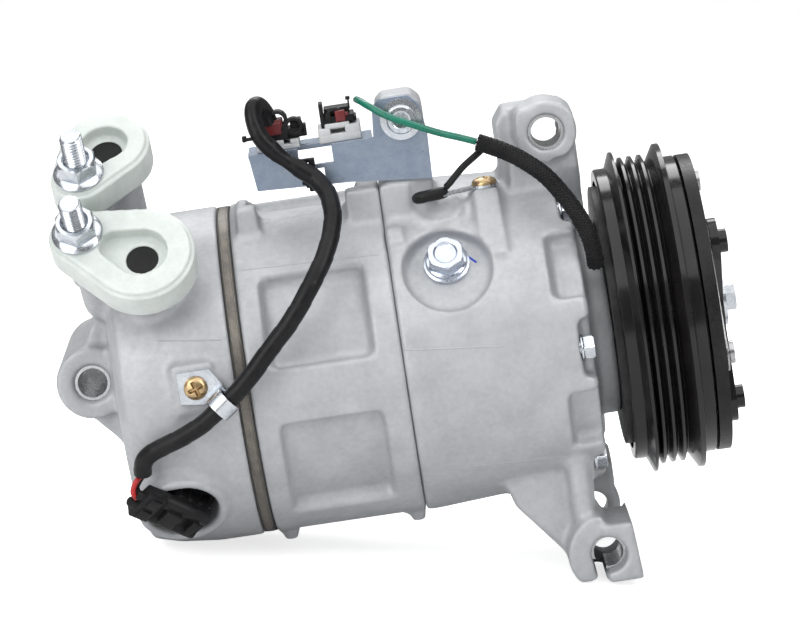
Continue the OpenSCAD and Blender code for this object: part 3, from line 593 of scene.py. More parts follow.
def radial(x: float, angle: float) -> Matrix:
    """Returns the place of a radial seat: +Z leads away from the shaft, at degrees from -Y up."""
    return shift(x) @ turn(90 - angle, "X")


def along_x(x: float, y: float = 0.0, z: float = 0.0) -> Matrix:
    """Returns the place of a piece whose own +Z leads along +X."""
    return shift(x, y, z) @ turn(90, "Y")


def towards_viewer(x: float, y: float, z: float) -> Matrix:
    """Returns the place of a piece whose own +Z leads along -Y."""
    return shift(x, y, z) @ turn(90, "X")


def threaded_rod(name: str, place: Matrix, low: float, high: float, crest: float,
                 pitch: float) -> bpy.types.Mesh:
    """Makes a threaded rod with a chamfered end, its sizes in millimetres.

    Args:
        name: The mesh's name.
        place: Where its +Z axis goes.
        low: Height of its lower end.
        high: Height of its upper end.
        crest: Radius over the thread.
        pitch: Pitch of the thread.

    Returns:
        The mesh.
    """
    depth = 0.58 * pitch
    steps = round((high - low) / pitch * 10)
    rings = []
    for i in range(steps + 1):
        z = low + (high - low) * i / steps
        limit = crest - max(0.0, 0.9 - (high - z)) * 0.8
        ring = []
        for j in range(48):
            a = TURN * j / 48
            phase = ((z - low) / pitch - a / TURN) % 1.0
            groove = min(1.0, max(0.0, 2.6 * abs(phase - 0.5) - 0.15))
            r = min(crest - depth * groove, limit)
            ring.append(place @ (Vector((r * math.cos(a), r * math.sin(a), z)) * MM))
        rings.append(ring)
    return grid_mesh(name, rings)


# ------------------------------------------------------------------ geometry nodes


class NodeGeometry:
    """Geometry Nodes trees that repeat a piece or lay strands along a path."""

    @staticmethod
    def _tree(name: str, inputs: dict[str, str]) -> tuple:
        """Starts a geometry tree with named inputs and one geometry output."""
        tree = bpy.data.node_groups.new(name, "GeometryNodeTree")
        tree.interface.new_socket("Geometry", in_out="INPUT", socket_type="NodeSocketGeometry")
        for socket, kind in inputs.items():
            tree.interface.new_socket(socket, in_out="INPUT", socket_type=f"NodeSocket{kind}")
        tree.interface.new_socket("Geometry", in_out="OUTPUT", socket_type="NodeSocketGeometry")
        wiring = Shader(tree)
        return wiring, wiring.node("NodeGroupInput").outputs

    @staticmethod
    def _dressed(s: Shader, made: bpy.types.Node, material: bpy.types.NodeSocket) -> bpy.types.NodeTree:
        """Ends a tree with real geometry in one material, and returns it."""
        real = s.node("GeometryNodeRealizeInstances", {0: made.outputs[0]})
        dressed = s.node("GeometryNodeSetMaterial", {0: real.outputs[0], "Material": material})
        return s.closed({0: dressed.outputs[0]})

    @classmethod
    def ring_of_copies(cls) -> bpy.types.NodeTree:
        """Returns the tree that turns copies of a piece round the X axis at even steps."""
        s, given = cls._tree("ring_of_copies", {
            "Count": "Int", "First Angle": "Float", "Step": "Float", "Material": "Material",
        })
        points = s.node("GeometryNodePoints", {"Count": given["Count"]})
        index = s.node("GeometryNodeInputIndex").outputs[0]
        angle = s.math("ADD", given["First Angle"], s.product(index, given["Step"]))
        spin = s.node("ShaderNodeCombineXYZ", {0: s.product(angle, -1.0)}).outputs[0]
        copies = s.node("GeometryNodeInstanceOnPoints", {
            "Points": points.outputs[0], "Instance": given["Geometry"], "Rotation": spin,
        })
        return cls._dressed(s, copies, given["Material"])

    @classmethod
    def braid(cls) -> bpy.types.NodeTree:
        """Returns the tree that winds crossing strands round a curve, over and under each other."""
        s, given = cls._tree("braid", {
            "Strands": "Int", "Radius": "Float", "Strand Radius": "Float", "Turns": "Float",
            "Spacing": "Float", "Material": "Material",
        })
        even = s.node(
            "GeometryNodeResampleCurve", {"Curve": given[0], "Length": given["Spacing"]}, mode="LENGTH",
        )
        copies = s.node("GeometryNodeDuplicateElements", {
            "Geometry": even.outputs[0], "Amount": given["Strands"],
        }, domain="SPLINE")
        number = copies.outputs["Duplicate Index"]
        hand = s.math("SUBTRACT", s.product(s.math("MODULO", number, 2.0), 2.0), 1.0)
        along = s.node("GeometryNodeSplineParameter").outputs["Factor"]
        start = s.product(s.math("DIVIDE", number, given["Strands"]), TURN)
        wound = s.product(along, given["Turns"], TURN)
        angle = s.math("ADD", start, s.product(wound, hand))
        weave = s.math("SINE", s.product(wound, given["Strands"], 0.5))
        lift = s.product(weave, hand, given["Strand Radius"], 0.45)
        reach = s.math("ADD", given["Radius"], lift)
        tangent = s.node("GeometryNodeInputTangent").outputs[0]
        normal = s.node("GeometryNodeInputNormal").outputs[0]
        across = s.vector("CROSS_PRODUCT", {0: tangent, 1: normal})
        one = s.vector("SCALE", {0: normal, "Scale": s.product(s.math("COSINE", angle), reach)})
        two = s.vector("SCALE", {0: across, "Scale": s.product(s.math("SINE", angle), reach)})
        offset = s.vector("ADD", {0: one, 1: two})
        placed = s.node("GeometryNodeSetPosition", {"Geometry": copies.outputs[0], "Offset": offset})
        section = s.node("GeometryNodeCurvePrimitiveCircle", {
            "Resolution": 5, "Radius": given["Strand Radius"],
        })
        skin = s.node("GeometryNodeCurveToMesh", {
            "Curve": placed.outputs[0], "Profile Curve": section.outputs[0], "Fill Caps": True,
        })
        return cls._dressed(s, skin, given["Material"])

    @staticmethod
    def bake(name: str, source: bpy.types.Object, tree: bpy.types.NodeTree, values: dict) -> bpy.types.Object:
        """Runs a tree on an object and keeps the result as a plain mesh.

        Args:
            name: The new piece's name.
            source: The object that the tree starts from; it is removed.
            tree: The geometry tree.
            values: Input name to value.

        Returns:
            The new mesh object.
        """
        modifier = source.modifiers.new("nodes", "NODES")
        modifier.node_group = tree
        sockets = {i.name: i.identifier for i in tree.interface.items_tree if i.in_out == "INPUT"}
        for key, value in values.items():
            modifier[sockets[key]] = value
        depsgraph = bpy.context.evaluated_depsgraph_get()
        mesh = bpy.data.meshes.new_from_object(source.evaluated_get(depsgraph), depsgraph=depsgraph)
        mesh.name = name
        source.modifiers.clear()
        bpy.data.objects.remove(source)
        return make_object(name, mesh)


# ------------------------------------------------------------------ placing pieces


@dataclass
class Bench:
    """Where finished pieces get their material and join the frame."""

    shop: FinishShop
    replaced: set[str] = field(default_factory=set)
    count: int = 0

    def add(self, name: str, mesh: bpy.types.Mesh | Sequence[bpy.types.Mesh], finish: str,
            replaces: Sequence[str] = (), slot: str | None = None) -> None:
        """Makes one piece of a mesh, or of several joined, and fits it as fit says."""
        if not isinstance(mesh, bpy.types.Mesh):
            mesh = join(name, mesh)
        self.fit(make_object(name, mesh), finish, replaces)

    def fit(self, piece: bpy.types.Object, finish: str, replaces: Sequence[str] = ()) -> bpy.types.Object:
        """Dresses a piece and fixes it to the housing.

        Args:
            piece: The mesh object, with its place in its mesh.
            finish: Name of its finish.
            replaces: CAD nodes that it stands for.

        Returns:
            The same object.
        """
        piece.data.materials.clear()
        piece.data.materials.append(self.shop.get(finish))
        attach(piece, BODY)
        if replaces:
            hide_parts(*replaces)
            self.replaced.update(replaces)
        self.count += 1
        LOG.info("%s: %d faces", piece.name, len(piece.data.polygons))
        return piece

    def dress_frame(self) -> None:
        """Gives every CAD node that still shows the finish of its own slot."""
        slots = {p["node"]: p["material_slot"] for p in frame["record"]["subparts"]}
        for name, node in frame["nodes"].items():
            if name in self.replaced:
                continue
            node.data.materials.clear()
            node.data.materials.append(self.shop.get(slots[name]))
        LOG.info("%d frame parts keep their own shape", len(frame["nodes"]) - len(self.replaced))


def copy_of(node: str, name: str) -> bpy.types.Object:
    """Returns a merged copy of a CAD node's mesh as a new object."""
    bm = bmesh.new()
    bm.from_mesh(frame["nodes"][node].data)
    bmesh.ops.remove_doubles(bm, verts=bm.verts, dist=2e-6)
    mesh = bpy.data.meshes.new(name)
    bm.to_mesh(mesh)
    bm.free()
    mesh.materials.clear()
    return make_object(name, mesh)


def baked(piece: bpy.types.Object) -> bpy.types.Object:
    """Makes a piece's modifiers part of its mesh."""
    depsgraph = bpy.context.evaluated_depsgraph_get()
    mesh = bpy.data.meshes.new_from_object(piece.evaluated_get(depsgraph), depsgraph=depsgraph)
    old = piece.data
    piece.modifiers.clear()
    piece.data = mesh
    bpy.data.meshes.remove(old)
    return piece


@dataclass
class MouldedForm:
    """A CAD solid whose edges and corners are run soft, as a mould leaves them."""

    node: str
    finish: str
    voxel: float
    passes: int
    keep: float = 1.0
    fillet: float = 0.0

    def build(self, bench: Bench) -> bpy.types.Object:
        """Makes the piece and fits it in place of its node.

        Args:
            bench: Where the piece is dressed.

        Returns:
            The piece.
        """
        piece = copy_of(self.node, f"{self.node}_form")
        self.skin(piece)
        if self.fillet:
            for reach in (self.fillet, -self.fillet):
                swell = piece.modifiers.new("swell", "DISPLACE")
                swell.strength = reach
                swell.mid_level = 0.0
                self.skin(piece)
        relax = piece.modifiers.new("relax", "SMOOTH")
        relax.factor = 0.5
        relax.iterations = self.passes
        if self.keep < 1:
            thin = piece.modifiers.new("thin", "DECIMATE")
            thin.ratio = self.keep
        baked(piece)
        source = frame["nodes"][self.node].data.vertices
        low, high = ([pick(v.co[k] for v in source) for k in range(3)] for pick in (min, max))
        for v in piece.data.vertices:
            v.co = Vector(min(max(c, a), b) for c, a, b in zip(v.co, low, high))
        piece.data.shade_smooth()
        return bench.fit(piece, self.finish, [self.node])

    def skin(self, piece: bpy.types.Object) -> None:
        """Adds the modifier that gives the piece one even skin."""
        remesh = piece.modifiers.new("skin", "REMESH")
        remesh.mode = "VOXEL"
        remesh.voxel_size = self.voxel
        remesh.use_smooth_shade = True


@dataclass
class Castings:
    """The three aluminium castings of the housing, with die lines and the checker's stroke of blue paint."""

    voxel: float = 0.85 * MM
    passes: int = 5
    fillet: float = 1.3 * MM
    near: float = -20
    parts: tuple[str, ...] = ("front_housing", "cylinder_block", "rear_head")
    seams: tuple = (
        ("front_housing", (-90, 9.5), (-55.5, 5.5), 0.32),
        ("front_housing", (-72.5, -38), (-37.5, -40.5), 0.3),
        ("cylinder_block", (-146, 43), (-94, 41.5), 0.28), ("rear_head", (-174.5, 24.5), (-153, 22), 0.3),
    )
    paint: tuple = ((-63.2, 35.5), (-60.6, 33.3))

    def ridge(self, form: bpy.types.Object, start: tuple, end: tuple, radius: float, sink: float,
              steps: int, sides: int) -> bpy.types.Mesh:
        """Returns a thin ridge laid over a casting, seen from -Y. Sizes are in millimetres.

        Args:
            form: The casting.
            start: X and Z of one end.
            end: X and Z of the other.
            radius: Half its width.
            sink: Depth of its middle under the skin.
            steps: Spans along it.
            sides: Points round it.
        """
        path = []
        for i in range(steps + 1):
            x, z = (a + (b - a) * i / steps for a, b in zip(start, end))
            hit, where, normal, _ = form.ray_cast(Vector((x, -120, z)) * MM, Vector((0, 1, 0)))
            if hit and where.y < self.near * MM:
                path.append(where - normal * sink * MM)
        return tube("ridge", path, lambda reach, a: radius, sides)

    def build(self, bench: Bench) -> None:
        """Makes all castings."""
        forms = {
            node: MouldedForm(node, "cast_aluminium", self.voxel, self.passes, 0.6, self.fillet).build(bench)
            for node in self.parts
        }
        lines = [self.ridge(forms[node], *rest, 0.12, 40, 8) for node, *rest in self.seams]
        bench.add("casting_seams", lines, "cast_aluminium")
        stroke = self.ridge(forms["front_housing"], *self.paint, 0.62, 0.45, 12, 10)
        bench.add("paint_stroke", stroke, "paint_mark", slot="cast_aluminium")


# ------------------------------------------------------------------ ports


@dataclass
class PortGear:
    """Caps, studs and nuts on the two line ports."""

    suction_x: float = -175
    suction_tilt: float = 47.0
    suction_face: float = 73
    suction_stud: tuple[float, float] = (-21, 11)
    discharge_x: float = -184
    discharge_tilt: float = 37.0
    discharge_face: float = 79
    discharge_side: float = 33.5
    discharge_stud: tuple[float, float] = (-9.5, -14)
    cap: float = 12
    stud_top: float = 31
    stud_low: float = -13
    nut_flats: float = 13

    def places(self) -> list[Matrix]:
        """Returns the place of each stud's foot, the suction port's first."""
        x, y = self.discharge_stud
        suction = shift(self.suction_x) @ turn(self.suction_tilt, "X")
        discharge = shift(self.discharge_x) @ turn(self.discharge_tilt, "X")
        return [
            suction @ shift(*self.suction_stud, self.suction_face),
            discharge @ shift(x, self.discharge_side + y, self.discharge_face),
        ]

    def nut(self, place: Matrix) -> bpy.types.Mesh:
        """Returns a flange nut that stands on the cap."""
        base, flats = self.cap, self.nut_flats
        profile = [
            (4.0, base), (8.7, base), (8.95, base + 0.4), (8.9, base + 1.0),
            (8.0, base + 1.8), (hexagon(flats), base + 2.3), (hexagon(flats), base + 6.4),
            (hexagon(flats, 7.2), base + 6.9), (hexagon(flats, 6.85), base + 7.4),
            (6.3, base + 7.9), (5.0, base + 8), (4.3, base + 7.5),
            (4.0, base + 7.0),
        ]
        return spun("nut", profile, 72, True, place)

    def build(self, bench: Bench) -> None:
        """Makes the caps, the threaded studs and the flange nuts."""
        for node in ("suction_cap", "discharge_cap"):
            MouldedForm(node, "nylon_white", 0.45 * MM, 8).build(bench)
        places = self.places()
        rods = [threaded_rod("stud", place, self.stud_low, self.stud_top, 3.98, 1.25) for place in places]
        bench.add("port_stud_threads", rods, "zinc_plate", ["port_studs"])
        foot = [(3.4, -16.4), (5.2, -15.8), (5.9, -14.4), (5.9, -3), (4, -2)]
        bosses = [spun("boss", foot, 48, False, place) for place in places]
        bench.add("stud_bosses", bosses, "cast_aluminium")
        bench.add("port_flange_nuts", [self.nut(place) for place in places], "zinc_plate", ["port_nuts"])


# ------------------------------------------------------------------ fasteners


@dataclass
class Fasteners:
    """Through bolts, drain plug and bracket bolt."""

    bolt_pitch: float = 52
    bolt_seat: float = -29
    bolt_end: float = -171
    plug_flats: float = 12
    plug: Matrix = field(default_factory=lambda: radial(-71, 40) @ shift(z=53))
    flats: float = 8
    flange: float = 4.93
    head: float = 4.9
    shank: float = 3

    def through_bolt(self) -> bpy.types.Mesh:
        """Returns the first flange bolt of the ring."""
        flats, flange, head, shank = self.flats, self.flange, self.head, self.shank
        length = self.bolt_seat - self.bolt_end
        corner = flats / math.sqrt(3)
        profile = [
            (shank * 0.8, -length), (shank, -length + shank * 0.2), (shank, 0.0), (flange * 0.97, 0.0),
            (flange, 0.2), (flange * 0.985, 0.6), (flange * 0.93, 0.95),
            (hexagon(flats), 1.2), (hexagon(flats), head - 0.9),
            (hexagon(flats, corner * 0.965), head - 0.5), (hexagon(flats, corner * 0.91), head - 0.15),
            (corner * 0.82, head), (corner * 0.6, head), (corner * 0.52, head - 0.45),
        ]
        return spun("bolt", profile, place=along_x(self.bolt_seat, -self.bolt_pitch))

    def build(self, bench: Bench) -> None:
        """Makes the ring of through bolts, the drain plug and the bracket bolt."""
        one = make_object("through_bolt", self.through_bolt())
        ring = NodeGeometry.bake("through_bolt_set", one, NodeGeometry.ring_of_copies(), {
            "Count": 6, "First Angle": 0.0, "Step": TURN / 6, "Material": bench.shop.get("zinc_plate"),
        })
        bench.fit(ring, "zinc_plate", ["through_bolts"])
        round_head = [
            (3, -20), (3, 0), (7.2, 0), (7.4, 0.3), (7.3, 1.1), (5.2, 1.3), (5.0, 1.6), (5.0, 3.4),
            (4.6, 3.9), (3.4, 4.0), (3.3, 2.6), (2.6, 2.2),
        ]
        bolt = spun("bolt", round_head, place=towards_viewer(-79.5, -30.8, 86))
        bench.add("bracket_flange_bolt", bolt, "zinc_plate", ["bracket_bolt"])
        screws = (("clip_screw", towards_viewer(-163.5, -62.1, 7.6), 4.2, 2, 14),
                  ("ground_screw", shift(-53.6, -23, 57.8), 4.5, 2.5, 8))
        for node, place, radius, shank, length in screws:
            parts = [
                cross_head(node, place, radius, 2.6, 0.35),
                spun(node, [(shank * 0.7, -length), (shank, 0.6 - length), (shank, 0.02)], 32, False, place),
            ]
            bench.add(f"{node}_head", parts, "yellow_zinc", [node])
        flats = self.plug_flats
        head = [
            (5.1, -2.8), (5.1, 0), (8.1, 0), (8.2, 0.3), (8.15, 1.4), (7.3, 1.75), (7.2, 2.8), (6.7, 3.1),
            (hexagon(flats), 3.3), (hexagon(flats), 7.2), (hexagon(flats, 6.6), 7.8),
            (hexagon(flats, 6.3), 8.2), (5.7, 8.4), (4.3, 8.4), (3.7, 7.6),
        ]
        bench.add("drain_plug_head", spun("plug", head, place=self.plug), "plug_zinc", ["drain_plug"])


# ------------------------------------------------------------------ wiring

HARNESS = (
    (-186.5, -60, -20), (-185.4, -62, -15.5), (-181, -64, -12), (-173, -66, -9), (-164, -67.5, -5),
    (-155, -68, 1), (-146, -68, 8), (-136, -67, 18), (-127, -66, 27), (-119, -63, 37),
    (-112, -57, 47), (-108, -49, 57), (-108.5, -42.5, 65), (-112, -38.5, 70.5), (-118, -37.5, 75.5),
    (-124.5, -37.5, 81.5), (-129, -37, 88), (-130.3, -35.5, 93.5), (-129.8, -33, 97.4), (-128, -29.5, 97.4),
    (-126.4, -26.5, 94.6), (-125.4, -25, 91),
)
COIL_WIRE = (
    (-94, -22, 94), (-92.5, -28, 93.8), (-90, -34, 92.5), (-84, -37.5, 88.5), (-76, -38.5, 84.5),
    (-67, -37, 80), (-60, -35, 77), (-54.6, -34, 74.6),
)
SLEEVE = (
    (-54, -34, 74.3), (-50, -35, 72.5), (-45, -37, 70), (-40, -40, 67), (-33, -43, 61),
    (-28, -44, 54), (-23.5, -44, 46), (-20.6, -44, 38), (-19.4, -42.5, 31), (-19.3, -40, 26),
)
GROUND_WIRE = (
    (-53, -31, 71), (-56, -31.5, 69), (-60, -32, 66.4), (-63.4, -32, 63.4), (-65.6, -31.6, 61.2),
    (-67.2, -31, 59.8),
)
RED_LEAD = ((-190, -61.4, -28.2), (-190.8, -62.4, -25.6), (-189.6, -61.6, -22.8), (-187.9, -60.4, -21.2))
BLACK_LEAD = ((-189.2, -59.2, -26.4), (-189.4, -59.2, -24.6), (-188, -58.6, -22.6), (-186.6, -58.6, -21))


@dataclass
class Wiring:
    """Leads and their sleeves."""

    harness_d: float = 6.6
    sleeve_d: float = 6.2
    wire_d: float = 2.4
    lead_d: float = 1.9
    tape_pitch: float = 9
    braid_pitch: float = 11
    strap_at: float = 150
    loop_at: float = 178
    loop_spread: float = 13

    def wire(self, bench: Bench, name: str, route: Sequence[Point], diameter: float, finish: str,
             replaces: Sequence[str] = ()) -> None:
        """Makes a smooth round wire along a route."""
        path = resampled(smooth_route(route, 8), 0.8)
        bench.add(name, tube(name, path, lambda reach, a: diameter / 2, 20), finish, replaces)

    def taped(self, reach: float, a: float) -> float:
        """Returns the radius of the wound tape: each turn laps over the one before it."""
        lap = (reach / self.tape_pitch - a / TURN) % 1.0
        near_top = math.exp(-(((reach - self.loop_at) / self.loop_spread) ** 2))
        pinch = math.exp(-(((reach - self.strap_at) / 4) ** 2))
        flat = 1 + near_top * (0.16 * math.sin(a) ** 2 - 0.2 * math.cos(a) ** 2)
        return self.harness_d / 2 * (0.93 + 0.07 * lap ** 0.6) * flat * (1 - 0.2 * pinch)

    def braid(self, bench: Bench) -> None:
        """Makes the braided sleeve: crossing strands over a dark core."""
        path = resampled(smooth_route(SLEEVE, 8), 0.8)
        core = tube("coil_sleeve_core", path, lambda reach, a: self.sleeve_d / 2 - 0.5, 24)
        bench.add("coil_sleeve_core", core, "wire_black", ["coil_sleeve"])
        curve = bpy.data.curves.new("sleeve_route", "CURVE")
        curve.dimensions = "3D"
        spline = curve.splines.new("POLY")
        spline.points.add(len(path) - 1)
        for point, p in zip(spline.points, path):
            point.co = (*p, 1.0)
        source = bpy.data.objects.new("sleeve_route", curve)
        bpy.context.scene.collection.objects.link(source)
        length = sum((b - a).length for a, b in zip(path, path[1:]))
        strands = NodeGeometry.bake("coil_sleeve_braid", source, NodeGeometry.braid(), {
            "Strands": 20, "Radius": (self.sleeve_d / 2 - 0.34) * MM, "Strand Radius": 0.3 * MM,
            "Turns": length / (self.braid_pitch * MM), "Spacing": 0.7 * MM,
            "Material": bench.shop.get("braid_black"),
        })
        strands.data.shade_smooth()
        bench.fit(strands, "braid_black")

    def shrink(self, bench: Bench) -> None:
        """Makes the shrunk sleeve over the ground terminal's crimp."""
        place = shift(-53.6, -23, 58) @ turn(28, "Z") @ turn(-90, "Y")
        r = 2.2
        profile = [(r * 0.5, 15.4), (r * 0.86, 15.9), (r * 0.97, 17.2), (r, 19), (r * 0.96, 24),
                   (r, 26), (r * 0.86, 28), (r * 0.55, 29)]
        bench.add("ground_shrink_sleeve", spun("shrink", profile, 40, False, place), "wire_black")

    def build(self, bench: Bench) -> None:
        """Makes all leads."""
        path = resampled(smooth_route(HARNESS, 8), 0.8)
        bench.add("harness_tape", tube("tape", path, self.taped, 32), "tape_black", ["harness"])
        self.braid(bench)
        self.wire(bench, "coil_lead", COIL_WIRE, self.wire_d, "wire_green", ["coil_wire"])
        self.wire(bench, "ground_lead", GROUND_WIRE, self.wire_d, "wire_black", ["ground_wire"])
        self.shrink(bench)
        self.wire(bench, "valve_lead_red", RED_LEAD, self.lead_d, "wire_red", ["valve_leads"])
        self.wire(bench, "valve_lead_black", BLACK_LEAD, self.lead_d, "wire_black")


# ------------------------------------------------------------------ connectors


@dataclass
class Connectors:
    """Plugs at the ends of the leads, their seats on the bracket and the harness strap."""

    edge: float = 0.45

    def group(self, bench: Bench, name: str, finish: str, boxes: Sequence[tuple], more: Sequence = (),
              place: Matrix = Matrix(), replaces: Sequence[str] = (), slot: str | None = None) -> None:
        """Fits one piece made of rounded boxes and other shapes.

        Args:
            bench: Where it is dressed.
            name: The piece's name.
            finish: Its finish.
            boxes: Pairs of lowest and highest corner, in millimetres.
            more: Further meshes.
            place: Where the boxes go.
            replaces: CAD nodes that it stands for.
            slot: Not used; meant for the record's slot where it isn't the finish, but Bench.add ignores it.
        """
        meshes = [
            block(name, low, high, min(self.edge, *(0.3 * (b - a) for a, b in zip(low, high))), place)
            for low, high in boxes
        ]
        bench.add(name, join(name, [*meshes, *more], 50), finish, replaces, slot)

    def arch(self, x: float, z: float, outer: float, inner: float, y: tuple[float, float]) -> bpy.types.Mesh:
        """Returns an upright ring that bridges a plug, seen from the front as an arch."""
        place = towards_viewer(x, y[1], z)
        depth, soft = y[1] - y[0], 0.35
        profile = [(inner, 0), (outer - soft, 0), (outer, soft), (outer, depth - soft),
                   (outer - soft, depth), (inner, depth)]
        return spun("arch", profile, 40, True, place)

    def build(self, bench: Bench) -> None:
        """Makes the seats, the three plugs and the strap."""
        self.group(bench, "plug_seats", "seat_grey", [
            ((-131, -29, 81), (-116, -12, 82.8)), ((-131, -29, 82.4), (-127.6, -13, 84.4)),
            ((-125.6, -29, 82.4), (-121.4, -13, 84.4)), ((-119.2, -29, 82.4), (-116, -13, 84.2)),
            ((-129, -14.5, 82.4), (-118, -12, 84.4)),
            ((-109, -29, 81), (-94, -12, 84)), ((-109, -29, 83.6), (-104.6, -13, 86.2)),
            ((-106.4, -28.6, 85.8), (-97.6, -13, 87.6)), ((-99.4, -29, 83.6), (-94, -13, 86.6)),
        ], replaces=["connector_seats"])
        self.group(bench, "lead_plug", "connector_black", [
            ((-129.4, -27.4, 84.4), (-119.6, -13.4, 88.6)), ((-128.6, -25.8, 88.2), (-121, -14.6, 91)),
            ((-129.2, -22, 90.6), (-127.6, -16, 93.4)), ((-119.8, -26, 84.4), (-113.4, -15.4, 87.8)),
            ((-118.4, -25, 87.4), (-114.4, -17, 90.6)), ((-113.9, -27, 84.6), (-112.9, -23.4, 89)),
        ], [self.arch(-122.7, 91.2, 3.7, 2.5, (-27.6, -23.6)),
            self.arch(-117.2, 88.4, 3.3, 2.1, (-27.2, -23)),
            self.arch(-122.7, 90.6, 3.5, 2.2, (-18.5, -15.5))], replaces=["lead_connector"])
        self.group(bench, "lead_plug_lock", "lock_red", [
            ((-127.4, -28.2, 86.4), (-121.6, -25.6, 90.8)), ((-126.6, -28, 90.6), (-125.4, -24.8, 94.2)),
            ((-124.6, -27.6, 88.6), (-121, -23, 91.6)),
        ], slot="connector_black")
        self.group(bench, "coil_plug", "connector_black", [
            ((-107.2, -27.2, 87.4), (-95.6, -14.6, 90)), ((-106, -25, 89.6), (-97, -15.6, 92.6)),
            ((-107.6, -28, 86.2), (-106.2, -20, 95)), ((-104.9, -27.8, 86.2), (-103.7, -21, 92)),
            ((-97.2, -26.8, 91.8), (-96.6, -24.4, 95.4)), ((-97.8, -27, 95), (-96.2, -24.2, 96.1)),
            ((-98.2, -26.6, 87.2), (-94.9, -16, 89)),
        ], [self.arch(-102.6, 89.8, 3.3, 2.0, (-27.4, -22.4))], replaces=["coil_connector"])
        self.group(bench, "coil_plug_lock", "lock_red", [
            ((-102.2, -28.2, 87.8), (-98.6, -25.8, 91.8)), ((-99.4, -27.8, 89.6), (-97.4, -24.6, 90.8)),
        ], slot="connector_black")
        self.group(bench, "harness_strap", "connector_black", [
            ((-117, -33, 75.8), (-111.6, -30.6, 77.2)), ((-113.8, -33.4, 68.6), (-111.6, -30.4, 77)),
            ((-117, -33.2, 68), (-110.4, -30.6, 69.4)), ((-115.8, -33, 66.8), (-111.8, -30.8, 68.4)),
            ((-114.8, -32.8, 65.4), (-113, -31, 67.2)),
            ((-134.4, -38.4, 87), (-130.6, -36.8, 88.2)), ((-135.4, -38.8, 86.8), (-133.8, -36.6, 89)),
        ])
        self.valve_plug(bench)

    def valve_plug(self, bench: Bench) -> None:
        """Makes the control valve's plug: a round foot with a ribbed body that lies over it."""
        seat = radial(-175.5, -38)
        place = seat @ turn(135, "Z")
        profile = [(9, 50.5), (11.4, 50.6), (11.5, 51), (11.5, 55.4), (11.1, 56.2), (8, 56.6)]
        foot = spun("foot", profile, place=seat)
        barrels = [
            spun("barrel", [(1.2, -1), (1.75, -0.8), (1.8, 2), (1.5, 2.4)], 24, False,
                 place @ along_x(20, y, 65.2))
            for y in (-2.2, 2.2)
        ]
        rails = [
            spun("rail", [(1.6, -7.6), (2.5, -7), (2.6, -6), (2.6, 11.4), (1.7, 12.2)], 32, False,
                 place @ along_x(0, y, 65.2))
            for y in (-4.2, 4.2)
        ]
        ribs = [((-7.4 + 4.2 * i, -7.1, 57.2), (-6 + 4.2 * i, 7.1, 62.4)) for i in range(4)]
        self.group(bench, "valve_plug", "connector_black", [
            ((-8, -6.4, 56.2), (8, 6.4, 63)), *ribs,
            ((-7.8, -6.6, 62.6), (19.8, 6.6, 65)),
            ((-7.8, -4.8, 64.6), (-5.6, 4.8, 66.4)), ((12, -6.5, 64.6), (19.8, 6.5, 67.7)),
            ((-4.6, -2.6, 64.8), (12.6, 2.6, 66.6)), ((-4.4, -3.2, 66.2), (-1.6, 3.2, 69.2)),
            ((3.4, -3.4, 66), (9.8, 3.4, 69.4)), ((13.4, -5.4, 67.4), (17.8, -1, 68.6)),
            ((13.4, 1, 67.4), (17.8, 5.4, 68.6)),
        ], [foot, *barrels, *rails], place, ["valve_connector"])


# ------------------------------------------------------------------ studio


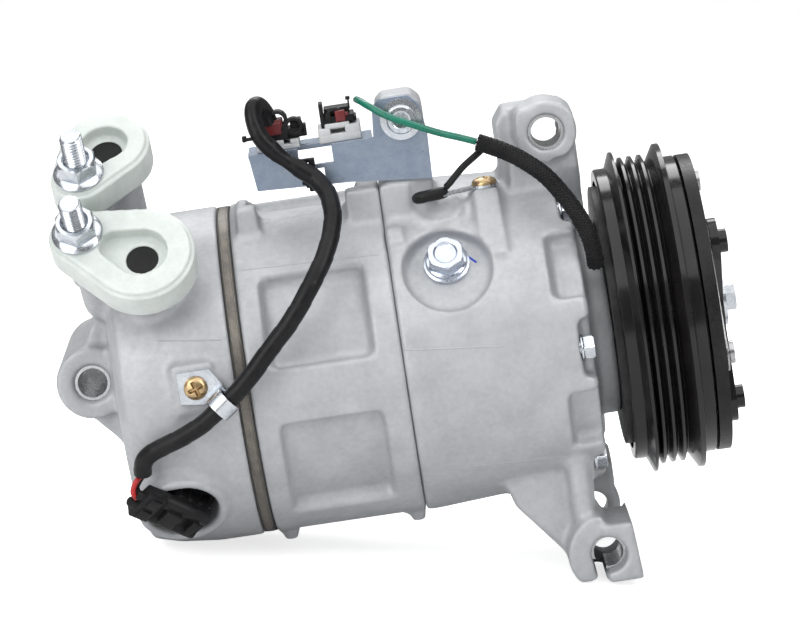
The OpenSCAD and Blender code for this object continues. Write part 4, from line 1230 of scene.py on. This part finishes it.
@dataclass
class Studio:
    """Floor, lights and camera."""

    target: tuple[float, float, float] = (-90.4 * MM, 0.0, 9.5 * MM)
    distance: float = 1.4
    azimuth: float = 0.4
    elevation: float = 10.3
    roll: float = 8.5
    focal: float = 3864 * 36 / 800
    floor_lean: float = 11.0
    floor_glow: float = 0.72
    gap: float = 0.2 * MM
    sky_light: float = 0.26

    def camera(self) -> None:
        """Places the camera."""
        a, e, roll = (math.radians(v) for v in (self.azimuth, self.elevation, self.roll))
        back = Vector((math.sin(a) * math.cos(e), -math.cos(a) * math.cos(e), math.sin(e)))
        right = Vector((math.cos(a), math.sin(a), 0))
        up = back.cross(right)
        x = math.cos(roll) * right - math.sin(roll) * up
        y = math.sin(roll) * right + math.cos(roll) * up
        data = bpy.data.cameras.new("camera")
        data.sensor_width = 36
        data.lens = self.focal
        data.clip_start = 0.05
        data.clip_end = 30
        camera = bpy.data.objects.new("camera", data)
        facing = Matrix((x, y, back)).transposed().to_4x4()
        camera.matrix_world = Matrix.Translation(Vector(self.target) + back * self.distance) @ facing
        bpy.context.scene.collection.objects.link(camera)
        bpy.context.scene.camera = camera

    def floor(self) -> None:
        """Lays the pale floor under the lowest points, leaning as the part stands on its lugs."""
        lean = math.radians(self.floor_lean)
        normal = Vector((math.sin(lean), 0, math.cos(lean)))
        low = min(
            normal.dot(v.co)
            for name in ("front_housing", "rear_head")
            for v in frame["nodes"][name].data.vertices
        )
        bm = bmesh.new()
        bmesh.ops.create_grid(bm, x_segments=8, y_segments=8, size=6)
        slope = Vector((0, 0, 1)).rotation_difference(normal).to_matrix().to_4x4()
        bmesh.ops.transform(bm, matrix=Matrix.Translation(normal * (low - self.gap)) @ slope, verts=bm.verts)
        mesh = bpy.data.meshes.new("floor")
        bm.to_mesh(mesh)
        bm.free()
        floor = make_object("floor", mesh)
        material = bpy.data.materials.new("studio_floor")
        material.use_nodes = True
        s = Shader(material.node_tree)
        shell = material.node_tree.nodes["Principled BSDF"]
        place = s.node("ShaderNodeTexCoord").outputs["Object"]
        tone = s.mix(s.noise(place, 3.0), rgba((0.8, 0.8, 0.805)), rgba((0.83, 0.83, 0.83)))
        s.tree.links.new(tone, shell.inputs["Base Color"])
        shell.inputs["Roughness"].default_value = 0.85
        shell.inputs["Emission Color"].default_value = rgba((1, 1, 1))
        seen = s.node("ShaderNodeLightPath").outputs["Is Camera Ray"]
        s.tree.links.new(s.math("MULTIPLY", seen, self.floor_glow), shell.inputs["Emission Strength"])
        mesh.materials.append(material)

    def area(self, name: str, where: Point, size: tuple[float, float], power: float) -> None:
        """Hangs a soft box that faces the part.

        Args:
            name: The light's name.
            where: Its place.
            size: Its width and height.
            power: Its power in watts.
        """
        data = bpy.data.lights.new(name, "AREA")
        data.shape = "RECTANGLE"
        data.size, data.size_y = size
        data.energy = power
        light = bpy.data.objects.new(name, data)
        aim = Vector(self.target) - Vector(where)
        light.matrix_world = Matrix.Translation(where) @ aim.to_track_quat("-Z", "Y").to_matrix().to_4x4()
        bpy.context.scene.collection.objects.link(light)

    def world(self) -> None:
        """Sets the surroundings: white to the camera, dimmer as a light."""
        world = bpy.data.worlds.new("studio")
        bpy.context.scene.world = world
        world.use_nodes = True
        world.node_tree.nodes.clear()
        s = Shader(world.node_tree)
        seen = s.node("ShaderNodeLightPath").outputs["Is Camera Ray"]
        strength = s.math("ADD", self.sky_light, s.math("MULTIPLY", seen, 0.8))
        sky = s.node("ShaderNodeBackground", {"Color": rgba((1, 1, 1)), "Strength": strength})
        s.node("ShaderNodeOutputWorld", {"Surface": sky.outputs[0]})

    def build(self) -> None:
        """Makes the whole studio."""
        self.camera()
        self.floor()
        self.world()
        self.area("top_box", (-0.1, -0.35, 0.95), (2.3, 1.7), 19)
        self.area("left_box", (-0.9, -1.0, 0.45), (0.8, 0.9), 6)
        self.area("right_strip", (0.75, -0.85, 0.5), (0.25, 0.9), 4)
        self.area("back_rim", (0.0, 0.8, 0.8), (0.9, 0.5), 6)
        bpy.context.scene.view_settings.view_transform = "Standard"


def main() -> None:
    """Builds every piece round the frame."""
    logging.basicConfig(level=logging.INFO, format="%(name)s: %(message)s")
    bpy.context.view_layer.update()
    bench = Bench(FinishShop())
    for assembly in (Castings(), PortGear(), Fasteners(), Wiring(), Connectors()):
        assembly.build(bench)
        LOG.info("%s done, %d pieces so far", type(assembly).__name__, bench.count)
    bench.dress_frame()
    Studio().build()


if __name__ == "__main__":
    main()
